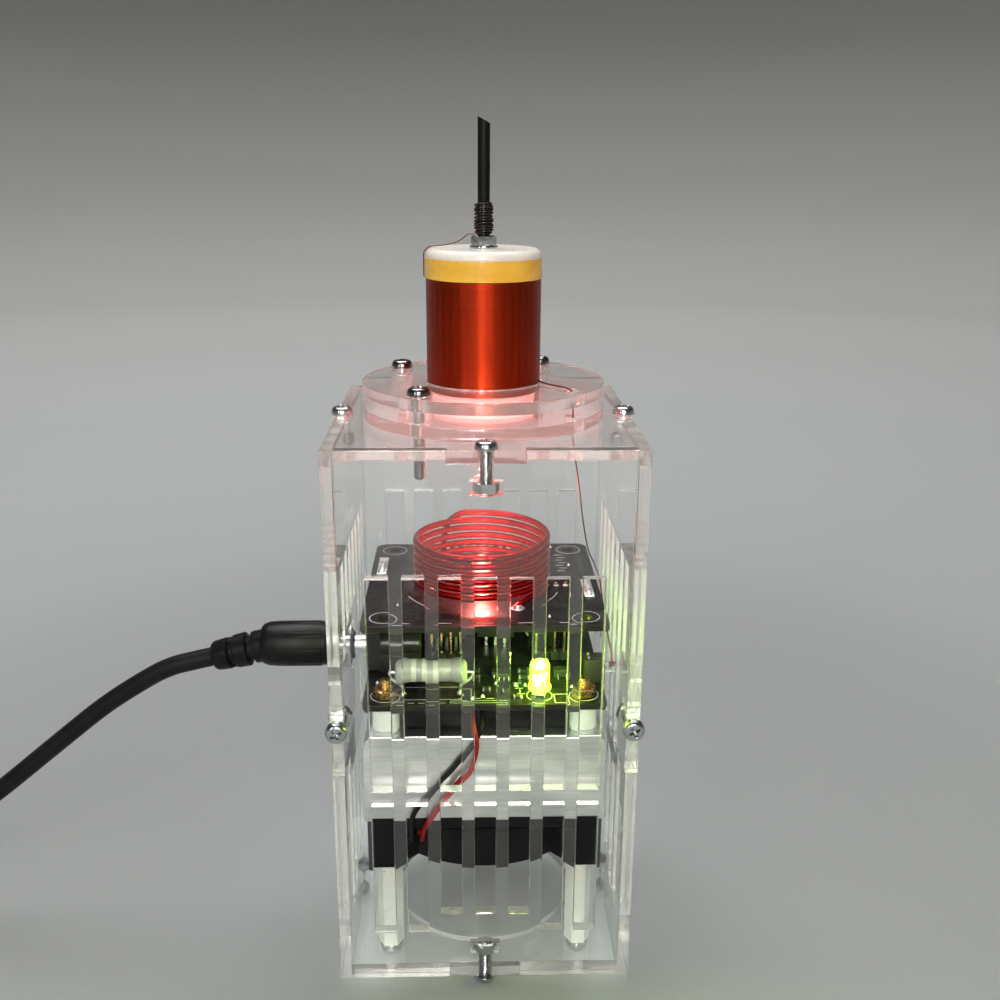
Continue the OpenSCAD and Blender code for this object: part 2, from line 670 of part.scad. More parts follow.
// Primary coil: one wire from the board up the helix and down behind it
primary_at = [-0.5, -2.7];
primary_r = primary_d / 2 - primary_wire / 2;
primary_z0 = primary_wire / 2 + 0.3;
primary_z1 = primary_z0 + primary_turns * primary_pitch;
primary_a0 = -45;
primary_a1 = primary_a0 + 360 * primary_turns;
function around(r, a, z) = [r * cos(a), r * sin(a), z];
primary_path = concat(
    [
        around(primary_r + 1.9, primary_a0 - 17, 0),
        around(primary_r + 1.9, primary_a0 - 17, 0.35),
        around(primary_r + 1.4, primary_a0 - 13, primary_z0 - 0.2)
    ],
    [for (p = helix(primary_r, primary_z0, primary_z1, primary_turns, primary_a0, 24)) p],
    [
        around(primary_r + 1.6, primary_a1 + 12, primary_z1 + 0.3),
        around(primary_r + 2.5, primary_a1 + 19, primary_z1 - 0.9),
        around(primary_r + 2.7, primary_a1 + 22, primary_z1 - 3),
        around(primary_r + 2.7, primary_a1 + 22, primary_z1 / 2),
        around(primary_r + 2.7, primary_a1 + 22, primary_wire),
        around(primary_r + 2.7, primary_a1 + 22, 0)
    ]
);
module primary_coil() color("#c4281c") translate([primary_at.x, primary_at.y, upper_top_z])
    tube(primary_path, primary_wire);
module coil_light() color("#ff4030") translate([primary_at.x, primary_at.y, upper_top_z]) light(0);

// Tower on the lid
module tower_disc(bore) linear_extrude(sheet_t) difference() {
    circle(d = disc_d, $fn = 96);
    at_tower(screw_angles) circle(d = screw_d + 0.2);
    at_tower([wire_hole_angle]) circle(d = wire_hole_d);
    if (bore > 0) circle(d = bore);
}
module lower_disc() color("lightcyan", 0.4) translate([0, 0, lower_disc_z]) tower_disc(0);
module upper_disc() color("lightcyan", 0.4) translate([0, 0, upper_disc_z]) tower_disc(winding_d + 0.8);
module disc_screws() color("silver") at_tower(screw_angles)
    translate([0, 0, upper_disc_z + sheet_t]) screw(tower_screw_len);
module disc_spacers() color("lightcyan", 0.4) at_tower(screw_angles)
    translate([0, 0, lower_disc_z + sheet_t]) difference() {
        cylinder(d = 6, h = disc_gap);
        translate([0, 0, -1]) cylinder(d = screw_d + 0.2, h = disc_gap + 2);
    }

winding_gap = 0.1;
tube_d = winding_d - 2 * winding_wire - 2 * winding_gap;
tube_wall = 1.6;
module winding_tube() color("white") translate([0, 0, lower_disc_z + sheet_t]) difference() {
    cylinder(d = tube_d, h = cap_z - lower_disc_z - sheet_t, $fn = 96);
    translate([0, 0, -1]) cylinder(d = tube_d - 2 * tube_wall, h = case_h, $fn = 96);
}
module tube_foot() color("white") translate([0, 0, lower_disc_z + sheet_t])
    cylinder(d = tube_d - 2 * tube_wall - 2 * snug, h = 4);
// One wire round the tube, its two ends running straight off the last turn
winding_r = winding_d / 2 - winding_wire / 2;
winding_helix = helix(winding_r, winding_wire / 2 + 0.2, winding_h - winding_wire / 2 - 0.2,
    winding_turns, -35, 24);
winding_last = winding_helix[len(winding_helix) - 1];
winding_path = concat(
    [winding_helix[0] - winding_wire * unit(winding_helix[1] - winding_helix[0])],
    winding_helix,
    [winding_last + winding_wire * unit(winding_last - winding_helix[len(winding_helix) - 2])]
);
module secondary_winding() color("#8a2c14") translate([0, 0, winding_z]) tube(winding_path, winding_wire);
tape_d = winding_d + 0.3;
module insulating_tape() color("#e6b73a") translate([0, 0, tape_z]) difference() {
    cylinder(d = tape_d, h = tape_h, $fn = 96);
    translate([0, 0, -1]) cylinder(d = tube_d + 2 * snug, h = tape_h + 2, $fn = 96);
}
// Cap with a rounded shoulder, pushed into the tube
cap_r = tape_d / 2 - 0.3;
cap_round = 1.8;
cap_plug_h = 5;
module end_cap() color("white") translate([0, 0, cap_z]) difference() {
    union() {
        rotate_extrude($fn = 96) polygon(concat(
            [[0, 0], [cap_r, 0]],
            [for (a = [0 : 15 : 90]) [cap_r - cap_round * (1 - cos(a)), cap_h - cap_round * (1 - sin(a))]],
            [[0, cap_h]]
        ));
        translate([0, 0, -cap_plug_h]) cylinder(d = tube_d - 2 * tube_wall - 2 * snug, h = cap_plug_h + 1);
    }
    translate([0, 0, -cap_plug_h - 1]) cylinder(d = rod_d + 0.2, h = cap_plug_h + cap_h + 2);
}
module rod_nuts() color("silver") for (z = [rod_nut_z, cap_z - cap_plug_h - nut_h])
    translate([0, 0, z]) rotate(8) nut(rod_d);
module rod_washer() color("silver") translate([0, 0, cap_top_z]) difference() {
    cylinder(d = 7, h = washer_h);
    translate([0, 0, -1]) cylinder(d = rod_d + 2 * snug, h = washer_h + 2);
}
// The rod's tip is cut on a slant
module discharge_rod() color("#141414") difference() {
    translate([0, 0, cap_z - cap_plug_h - nut_h - 1])
        cylinder(d = rod_d, h = rod_top_z - cap_z + cap_plug_h + nut_h + 1);
    translate([0, 0, rod_top_z]) rotate([0, 28, 0]) translate([-5, -5, 0]) cube([10, 10, 6]);
}
wrap_wire = 0.5;
wrap_r = (rod_d / 2 + wrap_wire / 2) / cos(180 / 8) + snug;
wrap_turns = 7;
wrap_h = 8;
wrap_path = helix(wrap_r, wrap_wire / 2 + snug, wrap_h - wrap_wire / 2, wrap_turns, 60, 8);
module rod_wrap() color("#2a1a14") translate([0, 0, wrap_z]) tube(wrap_path, wrap_wire);

// Thin wire from the winding over the tape and the cap to the nut
thin_wire = 0.5;
tape_side = tape_d / 2 + thin_wire / 2 + snug;
shoulder_x = cap_r - cap_round;
shoulder_r = tape_side - shoulder_x;
top_route = concat(
    [[-tape_side, -1, tape_z + 0.2]],
    [
        for (a = [0 : 30 : 90])
            [-shoulder_x - shoulder_r * cos(a), -1, cap_top_z - cap_round + shoulder_r * sin(a)]
    ],
    [
        [-9, -0.8, cap_top_z + 0.8], [-6, -0.6, cap_top_z + 1.7], [-4, -0.5, wrap_z + 0.2],
        [-3.2, -0.4, wrap_z + 0.32], [-wrap_r - wrap_wire, -0.4, wrap_z + 0.32]
    ]
);
module top_lead() color("#4a2418") tube(top_route, thin_wire);

// Ground lead: over the upper disc, down through the tower's wire hole, then slack past the upper
// board's right edge to the pin
wire_hole_at = tower_circle_d / 2 * [cos(wire_hole_angle), sin(wire_hole_angle)];
disc_top = upper_disc_z + sheet_t;
edge_x = board_w / 2 + 0.8;
pin_x = terminal_at.x + 4.7;
ground_route = [
    [13.5, -6.4, disc_top + 0.6], [15.3, -9.5, disc_top + 0.5], [17.8, -12.4, disc_top + 0.45],
    [wire_hole_at.x - 1.4, wire_hole_at.y + 0.9, disc_top + 0.4],
    [wire_hole_at.x - 0.5, wire_hole_at.y + 0.3, disc_top - 0.3],
    [wire_hole_at.x - 0.1, wire_hole_at.y, disc_top - 1.6],
    [wire_hole_at.x, wire_hole_at.y, disc_top - 4],
    [wire_hole_at.x, wire_hole_at.y, lid_z - 1],
    [22.5, -14.6, lid_z - 6], [23.9, -12, lid_z - 14],
    [25.4, -7.5, upper_top_z + 20], [27.6, -2, upper_top_z + 10], [29.9, 0.6, upper_top_z + 4.4],
    [edge_x, -0.6, upper_top_z + 0.6], [edge_x + 0.2, -4.5, upper_z - 1],
    [edge_x + 0.5, -9.5, upper_z - 5], [edge_x + 1.1, -13.6, upper_z - 9.4],
    [pin_x, terminal_at.y, lower_top_z + pin_z[1] + 1.8],
    [pin_x, terminal_at.y, lower_top_z + pin_z[1] + pin_w / 2 + snug]
];
module ground_lead() color("#5a2a1a") tube(ground_route, thin_wire);

// Red and black fan leads: from the lower board's underside down the heat sink's face to the ear
fan_wire = 1.3;
face_y = -max(sink_w, fan_w) / 2 - fan_wire / 2 - 0.2;
front_y = face_y - fan_wire - 0.1;
ear_edge = ear_r * sqrt(2);
// The last points of a lead, which end square to the ear at x = a
function into_ear(a) = [
    [a + 1.2, -28.2, sink_z - 7.6], [a + 0.9, a - ear_edge - 1.1, sink_z - 8],
    [a, a - ear_edge - 0.2, sink_z - 8]
];
red_route = concat([
    [-3, -26, lower_z], [-3, -26, lower_z - fan_wire], [-3, -27, lower_z - 2.2],
    [-3, -29.3, lower_z - 2.7], [-2.8, face_y, lower_z - 4], [-2.4, front_y, spacer_z + 1.5],
    [-2.2, front_y, spacer_z - 2.5], [-3.5, front_y, spacer_z - 7.5],
    [-6, front_y + 0.1, spacer_z - 10.9], [-9.3, front_y + 0.4, sink_z + 8.5],
    [-12.8, front_y + 0.8, sink_z + 3], [-15, face_y - 0.1, sink_z - 1.4], [-16, face_y, sink_z - 5]
], into_ear(-17.2));
black_route = concat([
    [-0.6, -26, lower_z], [-0.6, -26, lower_z - fan_wire], [-0.6, -27, lower_z - 2.2],
    [-0.6, -29.3, lower_z - 2.7], [-0.8, face_y, lower_z - 4.2], [-1.8, face_y, spacer_z + 0.5],
    [-4.4, face_y, spacer_z - 3.5], [-8, face_y, spacer_z - 8.5], [-12, face_y, sink_z + 10.4],
    [-16, face_y, sink_z + 5.3], [-18.4, face_y, sink_z + 1], [-18.9, face_y, sink_z - 5]
], into_ear(-20));
module fan_lead() {
    color("#b02020") tube(red_route, fan_wire);
    color("#1c1c1e") tube(black_route, fan_wire);
}

// Supply plug: barrel, body through the wall, and a grooved strain relief that droops a little
plug_front_x = jack_x - plug_gap;
plug_rear_x = plug_front_x - plug_len;
plug_taper = 1.2;
relief_tilt = 13;
relief_root_x = plug_rear_x + 2.5;
relief_len = 16;
relief_profile = [
    [0, 0], [4.3, 0], [4.3, 4.6], [3.3, 4.9], [3.3, 6], [4.6, 6.3], [4.4, 9.8], [3.1, 10.1],
    [3.1, 11.2], [4.2, 11.5], [3.9, 15], [3.2, relief_len], [0, relief_len]
];
relief_end = [
    relief_root_x - relief_len * cos(relief_tilt), jack_y, jack_z - relief_len * sin(relief_tilt)
];
// A thing made along +z, turned to run along -x from x = at
module leftwards(at) translate([at, 0, 0]) rotate([0, -90, 0]) children();
module supply_plug() color("#17171a") translate([0, jack_y, jack_z]) {
    leftwards(plug_front_x) cylinder(d = plug_d, h = plug_len - plug_taper);
    leftwards(plug_rear_x + plug_taper) cylinder(d1 = plug_d, d2 = plug_d - 1.6, h = plug_taper);
    difference() {
        leftwards(plug_front_x + barrel_len) cylinder(d = barrel_d, h = barrel_len + 1);
        leftwards(plug_front_x + barrel_len + 1) cylinder(d = barrel_bore_d, h = barrel_len + 0.5);
    }
    translate([relief_root_x, 0, 0]) rotate([0, -relief_tilt, 0])
        leftwards(0) rotate_extrude() polygon(relief_profile);
}
// Free cord: points chosen by hand from the strain relief down to the coil on the table
coil_layer = cord_d + 0.5;
tie_t = 0.6;
coil_low_z = cord_d / 2 + tie_t + play;
coil_high_z = coil_low_z + coil_layer;
coil_loops = 3;
coil_r_out = 35.75;
coil_r_in = coil_r_out - coil_loops * coil_layer;
coil_at = [-203, jack_y + coil_r_out];
cord_route = concat([
    relief_end,
    relief_end - cord_d * [cos(relief_tilt), 0, sin(relief_tilt)]
], [
    for (q = [
        [-83, 77], [-90, 73.4], [-102, 65.4], [-117, 53.2], [-133, 40], [-148, 29], [-163, 19.7],
        [-176, 13.6], [-187, 10.2]
    ]) [q[0], jack_y, q[1]]
], [
    [coil_at.x + 2 * cord_d, jack_y, coil_high_z],
    [coil_at.x + cord_d, jack_y, coil_high_z]
]);
module supply_cord() color("#17171a") tube(cord_route, cord_d, 10);
// The coil winds in on the upper layer, drops a layer while it turns round, and winds out below
coil_half = 24 * coil_loops;
coil_last = 2 * coil_half - 7;
function coil_r(i) = coil_r_out - (coil_r_out - coil_r_in) * (1 - abs(1 - i / coil_half));
function coil_point(i) =
    let (drop = min(1, max(0, (i - coil_half + 6) / 12)), a = -90 - 15 * i)
    [coil_r(i) * cos(a), coil_r(i) * sin(a), coil_high_z - coil_layer * drop];
socket_r = 5.2;
tail_x = coil_r_out + 0.4;
coil_path = concat(
    [[cord_d, -coil_r_out, coil_high_z]],
    [for (i = [0 : coil_last]) coil_point(i)],
    [
        [tail_x - 1.2, 3.5, coil_low_z], [tail_x - 0.2, -2, coil_low_z + 0.5],
        [tail_x, -7, socket_r - 0.3], [tail_x, -11.5, socket_r], [tail_x, -16, socket_r]
    ]
);
module cord_coil() color("#17171a") translate([coil_at.x, coil_at.y, 0]) tube(coil_path, cord_d);
// Two ties round the coil's bundle, where its rings first and then each loop later pass them
tie_w = 4;
tie_top = coil_high_z + cord_d / 2 + play;
module cord_ties() color("#3a3a3e") translate([coil_at.x, coil_at.y, 0]) for (first = [4, 13]) {
    loops_r = [for (i = [first : 24 : coil_last]) coil_r(i)];
    inner = min(loops_r) - cord_d / 2 - 1.5 * play;
    outer = max(loops_r) + cord_d / 2 + play;
    rotate(-90 - 15 * first) difference() {
        translate([inner - tie_t, -tie_w / 2, 0])
            cube([outer - inner + 2 * tie_t, tie_w, tie_top + tie_t]);
        translate([inner, -tie_w, tie_t]) cube([outer - inner, 2 * tie_w, tie_top - tie_t]);
    }
}
// In-line socket on the lead's far end, lying on the table
module cord_socket() color("#17171a")
    translate([coil_at.x + tail_x, coil_at.y - 16, socket_r]) rotate([90, 0, 0]) difference() {
        rotate_extrude() polygon([
            [0, 0], [3.2, 0], [3.6, 2.5], [3, 2.9], [3, 4], [4, 4.3], [4.3, 7], [3.3, 7.4], [3.3, 8.5],
            [4.8, 9], [socket_r, 12], [socket_r, 34], [4.8, 34.6], [0, 34.6]
        ]);
        difference() {
            translate([0, 0, 24]) cylinder(d = barrel_d + 0.4, h = 11);
            translate([0, 0, 23]) cylinder(d = 1.95, h = 10);
        }
    }

// What the wound forms leave between their turns
echo(primary_gap = least_gap(primary_path, primary_wire, 12));
echo(winding_gap = least_gap(winding_path, winding_wire, 12));
echo(wrap_gap = least_gap(wrap_path, wrap_wire, 5));
echo(coil_gap = least_gap(coil_path, cord_d, 12));

bottom_plate();
top_plate();
front_panel();
rear_panel();
left_panel();
right_panel();
top_screws();
top_nuts();
bottom_screws();
bottom_nuts();
corner_screws();
corner_nuts();
hex_posts();
post_screws();
fan_frame();
fan_bearing();
fan_stator();
fan_impeller();
fan_magnet();
fan_shaft();
fan_lead();
heat_sink();
stack_studs();
stack_nuts();
board_spacers();
lower_board();
upper_board();
board_headers();
dc_jack();
power_resistor();
status_light();
ground_terminal();
power_transistors();
film_capacitors();
reservoir_capacitor();
board_chips();
solder_pads();
primary_coil();
coil_light();
lower_disc();
upper_disc();
disc_screws();
disc_spacers();
winding_tube();
tube_foot();
secondary_winding();
insulating_tape();
end_cap();
rod_nuts();
rod_washer();
discharge_rod();
rod_wrap();
top_lead();
ground_lead();
supply_plug();
supply_cord();
cord_coil();
cord_ties();
cord_socket();
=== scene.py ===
# Looks of the desktop resonant transformer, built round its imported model.
# Sizes are in millimetres until a piece is made, and MM turns them into metres.
import math

import bmesh
import bpy
from mathutils import Matrix, Vector, noise
from mathutils.geometry import delaunay_2d_cdt


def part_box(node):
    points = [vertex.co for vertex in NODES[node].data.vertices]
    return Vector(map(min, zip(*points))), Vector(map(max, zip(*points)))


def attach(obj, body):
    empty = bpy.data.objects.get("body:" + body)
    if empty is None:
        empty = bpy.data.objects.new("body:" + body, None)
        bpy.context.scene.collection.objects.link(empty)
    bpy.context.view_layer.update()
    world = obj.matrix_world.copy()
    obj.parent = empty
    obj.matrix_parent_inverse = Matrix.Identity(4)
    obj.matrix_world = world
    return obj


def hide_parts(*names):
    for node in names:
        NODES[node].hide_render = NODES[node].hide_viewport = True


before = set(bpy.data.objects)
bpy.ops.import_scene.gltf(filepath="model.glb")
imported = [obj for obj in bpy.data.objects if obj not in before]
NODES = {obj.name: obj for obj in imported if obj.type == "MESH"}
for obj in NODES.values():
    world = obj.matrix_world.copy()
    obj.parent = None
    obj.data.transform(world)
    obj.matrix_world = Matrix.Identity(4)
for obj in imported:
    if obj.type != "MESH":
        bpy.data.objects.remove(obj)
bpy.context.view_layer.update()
MM = 0.001
TURN = 2 * math.pi


def low(node):
    """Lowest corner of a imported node, in millimetres."""
    return Vector(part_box(node)[0]) / MM


def high(node):
    """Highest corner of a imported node, in millimetres."""
    return Vector(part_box(node)[1]) / MM


# ----------------------------------------
# Places that the pieces share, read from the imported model

SHEET = high("bottom_plate").z - low("bottom_plate").z
HALF = high("rear_panel").y
SEAM = HALF - SHEET / 2
FLOOR_Z = low("bottom_plate").z
WALL_TOP = high("front_panel").z
LID_Z = low("top_plate").z
HOOK_Z = (low("corner_screws").z + high("corner_screws").z) / 2
SINK_Z = low("heat_sink").z
SPACER_Z = low("board_spacers").z
LOWER_Z = low("lower_board").z
LOWER_TOP = high("lower_board").z
UPPER_Z = low("upper_board").z
UPPER_TOP = high("upper_board").z
BOARD = high("upper_board").x
STACK = (high("stack_nuts").x + low("stack_nuts").x) / 2 + 25
DISC_TOP = high("upper_disc").z
CAP_TOP = low("rod_washer").z
ROD_R = (high("discharge_rod").x - low("discharge_rod").x) / 2
PRIMARY_AT = Vector((-0.5, -2.7, UPPER_TOP))
STATUS_AT = Vector((13.8, -25.6, LOWER_TOP))
SCREW_D = 3.0
HEAD_D = 2 * (high("top_screws").x - SEAM)
HEAD_H = FLOOR_Z - low("bottom_screws").z
SCREW_LEN = WALL_TOP - low("top_screws").z
NUT_ACROSS = 5.5
NUT_H = high("top_nuts").z - low("top_nuts").z
NUT_TURN = 12
TOWER_R = 26.5
TOWER_ANGLES = (54, 144, 234)


# ----------------------------------------
# Shapes: each function returns points and faces


def at(x, y, z, axis=(0, 0, 1), turn=0.0):
    """A place whose own z runs along axis, after a turn about it in degrees."""
    upright = Vector(axis).to_track_quat("Z", "Y").to_matrix().to_4x4()
    return Matrix.Translation((x, y, z)) @ upright @ Matrix.Rotation(math.radians(turn), 4, "Z")


def polar(r, angle, *rest):
    """The point at r and an angle in radians, with its height if one is given."""
    return (r * math.cos(angle), r * math.sin(angle), *rest)


def circle(r, z, steps):
    """Points of a level circle."""
    return [polar(r, TURN * k / steps, z) for k in range(steps)]


def taken(mesh):
    """The points and faces of a bmesh, which is then freed."""
    mesh.verts.index_update()
    shape = [v.co.copy() for v in mesh.verts], [[v.index for v in f.verts] for f in mesh.faces]
    mesh.free()
    return shape


def grid_faces(rows, steps, closed_rows=False):
    """Quads between rows of points that each close on themselves."""
    pairs = [(r, (r + 1) % rows) for r in range(rows if closed_rows else rows - 1)]
    return [
        [a * steps + k, a * steps + (k + 1) % steps, b * steps + (k + 1) % steps, b * steps + k]
        for a, b in pairs
        for k in range(steps)
    ]


def closed_faces(rows, steps):
    """Quads between the rows, and a cap on both ends."""
    return grid_faces(rows, steps) + [[steps - 1 - k for k in range(steps)],
                                      [(rows - 1) * steps + k for k in range(steps)]]


def revolve(profile, steps=48, ring=False):
    """A turned shape from (radius, height) pairs. ring joins the profile's end to its start."""
    rows = len(profile)
    points = [q for r, z in profile for q in circle(r, z, steps)]
    return points, grid_faces(rows, steps, True) if ring else closed_faces(rows, steps)


def smooth_path(points, per_span=6):
    """A Catmull-Rom curve through the points."""
    p = [Vector(q) for q in points]
    p = [2 * p[0] - p[1], *p, 2 * p[-1] - p[-2]]
    out = []
    for i in range(1, len(p) - 2):
        for k in range(per_span):
            t = k / per_span
            out.append(0.5 * (
                2 * p[i] + (p[i + 1] - p[i - 1]) * t
                + (2 * p[i - 1] - 5 * p[i] + 4 * p[i + 1] - p[i + 2]) * t * t
                + (3 * p[i] - p[i - 1] - 3 * p[i + 1] + p[i + 2]) * t ** 3
            ))
    return out + [p[-2]]


def sweep(path, radius, sides=10):
    """A tube along a path. radius is a number, or a function of the share of the path."""
    path = [Vector(q) for q in path]
    wide = radius if callable(radius) else (lambda f: radius)
    points, side = [], None
    for i, p in enumerate(path):
        along = (path[min(i + 1, len(path) - 1)] - path[max(i - 1, 0)]).normalized()
        if side is None:
            side = along.orthogonal()
        side = (side - side.dot(along) * along).normalized()
        other = along.cross(side)
        r = wide(i / (len(path) - 1))
        points += [
            p + r * (math.cos(TURN * k / sides) * side + math.sin(TURN * k / sides) * other)
            for k in range(sides)
        ]
    return points, closed_faces(len(path), sides)


def block(size, radius=0.2, steps=2):
    """A block about its middle, with rounded edges."""
    mesh = bmesh.new()
    bmesh.ops.create_cube(mesh, size=1.0, matrix=Matrix.Diagonal((*size, 1)))
    if radius:
        bmesh.ops.bevel(mesh, geom=mesh.edges[:], offset=radius, segments=steps, profile=0.5,
                        affect="EDGES", clamp_overlap=True)
    return taken(mesh)


def slab(outline, bottom, top, radius=0.08):
    """A flat outline with height, and its edges broken."""
    mesh = bmesh.new()
    face = mesh.faces.new([mesh.verts.new((x, y, bottom)) for x, y in outline])
    made = bmesh.ops.extrude_face_region(mesh, geom=[face])
    raised = [v for v in made["geom"] if isinstance(v, bmesh.types.BMVert)]
    bmesh.ops.translate(mesh, vec=(0, 0, top - bottom), verts=raised)
    bmesh.ops.recalc_face_normals(mesh, faces=mesh.faces[:])
    rims = [e for e in mesh.edges if e.calc_face_angle(0) > math.radians(40)]
    bmesh.ops.bevel(mesh, geom=rims, offset=radius, segments=1, profile=0.5,
                    affect="EDGES", clamp_overlap=True)
    return taken(mesh)


def arc(x, y, r, start, end, steps=12):
    """Points of an arc about (x, y), from start to end in degrees."""
    turns = [math.radians(start + (end - start) * k / steps) for k in range(steps + 1)]
    return [(x + r * math.cos(a), y + r * math.sin(a)) for a in turns]


def annulus(inner, outer, bottom, top):
    """A flat ring."""
    return revolve([(inner, bottom), (outer, bottom), (outer, top), (inner, top)], ring=True)


def threaded(radius, length, pitch=0.5, steps=18):
    """A threaded rod that hangs from z = 0, with a chamfered tip."""
    rows = int(length / pitch * 4)
    depth = 0.3
    points = []
    for i in range(rows + 1):
        z = -length * i / rows
        for k in range(steps):
            phase = (z / pitch - k / steps) % 1.0
            r = min(radius - depth * abs(2 * phase - 1), radius - 0.5 + (length + z))
            points.append(polar(r, TURN * k / steps, z))
    return points, [f[::-1] for f in closed_faces(rows + 1, steps)]


def hex_nut(bore, steps=72):
    """A nut on z = 0 with corners chamfered on both sides and a countersunk bore."""
    flat = NUT_ACROSS / 2
    land = flat * 0.97
    points = []
    for part in range(8):
        for k in range(steps):
            a = 360 * k / steps
            corner = flat / math.cos(math.radians(a % 60 - 30))
            drop = (corner - land) * math.tan(math.radians(30))
            r, z = [
                (bore, 0.35), (bore + 0.35, 0), (land, 0), (corner, drop),
                (corner, NUT_H - drop), (land, NUT_H), (bore + 0.35, NUT_H), (bore, NUT_H - 0.35),
            ][part]
            points.append(polar(r, math.radians(a), z))
    return points, grid_faces(8, steps, True)


def pan_head(steps=56, rings=22):
    """A domed screw head with a cross recess, on z = 0."""
    radius = HEAD_D / 2
    flat = HEAD_D * 0.29
    rim = HEAD_H * 0.25
    arm = 1.55

    def recess(x, y):
        across, along = sorted((abs(x), abs(y)))
        edge = min(1, max(0, (0.40 - 0.07 * along - across) / 0.1))
        end = min(1, max(0, (arm - along) / 0.25))
        return edge * end * (1.25 - 0.35 * along)

    points = []
    for i in range(1, rings + 1):
        r = radius * i / rings
        share = min(1.0, max(0.0, (r - flat) / (radius - flat)))
        z = rim + (HEAD_H - rim) * math.sqrt(1 - share * share)
        for k in range(steps):
            x, y = polar(r, TURN * k / steps)
            points.append((x, y, z - recess(x, y)))
    for r, z in ((radius, 0.12), (radius - 0.12, 0.0), (0.3, 0.0)):
        points += circle(r, z, steps)
    faces = [f[::-1] for f in grid_faces(rings + 3, steps)]
    centre = len(points)
    points.append((0, 0, HEAD_H - 1.25))
    faces += [[centre, k, (k + 1) % steps] for k in range(steps)]
    faces.append([(rings + 2) * steps + k for k in reversed(range(steps))])
    return points, faces


# ----------------------------------------
# Pieces


def placed(name, data):
    """A new object in the scene."""
    thing = bpy.data.objects.new(name, data)
    bpy.context.scene.collection.objects.link(thing)
    return thing


class Form:
    """Points and faces of one piece, gathered shape by shape, with each face's finish number."""

    def __init__(self):
        self.points, self.faces, self.kinds = [], [], []

    def add(self, shape, place=Matrix(), kind=0):
        """Adds a shape at a place. kind is the number of its finish."""
        points, faces = shape
        first = len(self.points)
        flip = place.to_3x3().determinant() < 0
        self.points += [place @ Vector(p) for p in points]
        self.faces += [[first + i for i in (f[::-1] if flip else f)] for f in faces]
        self.kinds += [kind] * len(faces)
        return self

    def make(self, name, finishes, nodes=(), slot=None, sharp=32, body="root"):
        """The piece as a Blender object that rides on its body and stands for the nodes."""
        mesh = bpy.data.meshes.new(name)
        mesh.from_pydata([tuple(p * MM for p in q) for q in self.points], [], self.faces)
        mesh.update()
        for finish in finishes:
            mesh.materials.append(finish)
        mesh.polygons.foreach_set("material_index", self.kinds)
        mesh.polygons.foreach_set("use_smooth", [True] * len(mesh.polygons))
        mesh.set_sharp_from_angle(angle=math.radians(sharp))
        piece = placed(name, mesh)
        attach(piece, body)
        if nodes:
            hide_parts(*nodes)
        return piece


def dress(node, finish, round_by=0.0):
    """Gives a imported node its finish, and rounds its sharp edges."""
    piece = NODES[node]
    piece.data.materials.clear()
    piece.data.materials.append(finish)
    if round_by:
        weld = piece.modifiers.new("weld", "WELD")
        weld.merge_threshold = 2e-6
        bevel = piece.modifiers.new("bevel", "BEVEL")
        bevel.width = round_by * MM
        bevel.segments = 2
        bevel.limit_method = "ANGLE"
        bevel.angle_limit = math.radians(38)
        bevel.use_clamp_overlap = False
        bevel.harden_normals = False
        bevel.miter_outer = "MITER_ARC"


def rim_loops(node, along):
    """The outlines of a flat-cut node's upper face, as loops of points across the axis."""
    mesh = NODES[node].data
    top = high(node)[along]
    across = [i for i in range(3) if i != along]
    sides = {}
    for face in mesh.polygons:
        corners = [mesh.vertices[i].co / MM for i in face.vertices]
        if any(abs(p[along] - top) > 0.001 for p in corners):
            continue
        flat = [(round(p[across[0]], 3), round(p[across[1]], 3)) for p in corners]
        for side in zip(flat, flat[1:] + flat[:1]):
            if side[::-1] in sides:
                sides.pop(side[::-1])
            else:
                sides[side] = True
    follows = {start: end for start, end in sides}
    loops = []
    while follows:
        first, point = follows.popitem()
        loop = [first]
        while point != first:
            loop.append(point)
            point = follows.pop(point)
        loops.append([Vector(q) for q in loop])
    return loops


def drawn_in(loop, by, left):
    """The loop moved into the sheet, which lies on its left or its right."""
    moved = []
    for i, point in enumerate(loop):
        before = (point - loop[i - 1]).normalized()
        after = (loop[(i + 1) % len(loop)] - point).normalized()
        inward = Vector((-before.y - after.y, before.x + after.x)) * (1 if left else -1)
        moved.append(point + inward * by / max(0.3, 1 + before.dot(after)))
    return moved


def inside(point, loops):
    """Whether a point is in the sheet, by the outlines that a line from it crosses."""
    crossed = 0
    for loop in loops:
        for a, b in zip(loop, loop[1:] + loop[:1]):
            if (a.y > point.y) != (b.y > point.y):
                crossed += point.x < a.x + (point.y - a.y) * (b.x - a.x) / (b.y - a.y)
    return crossed % 2 == 1


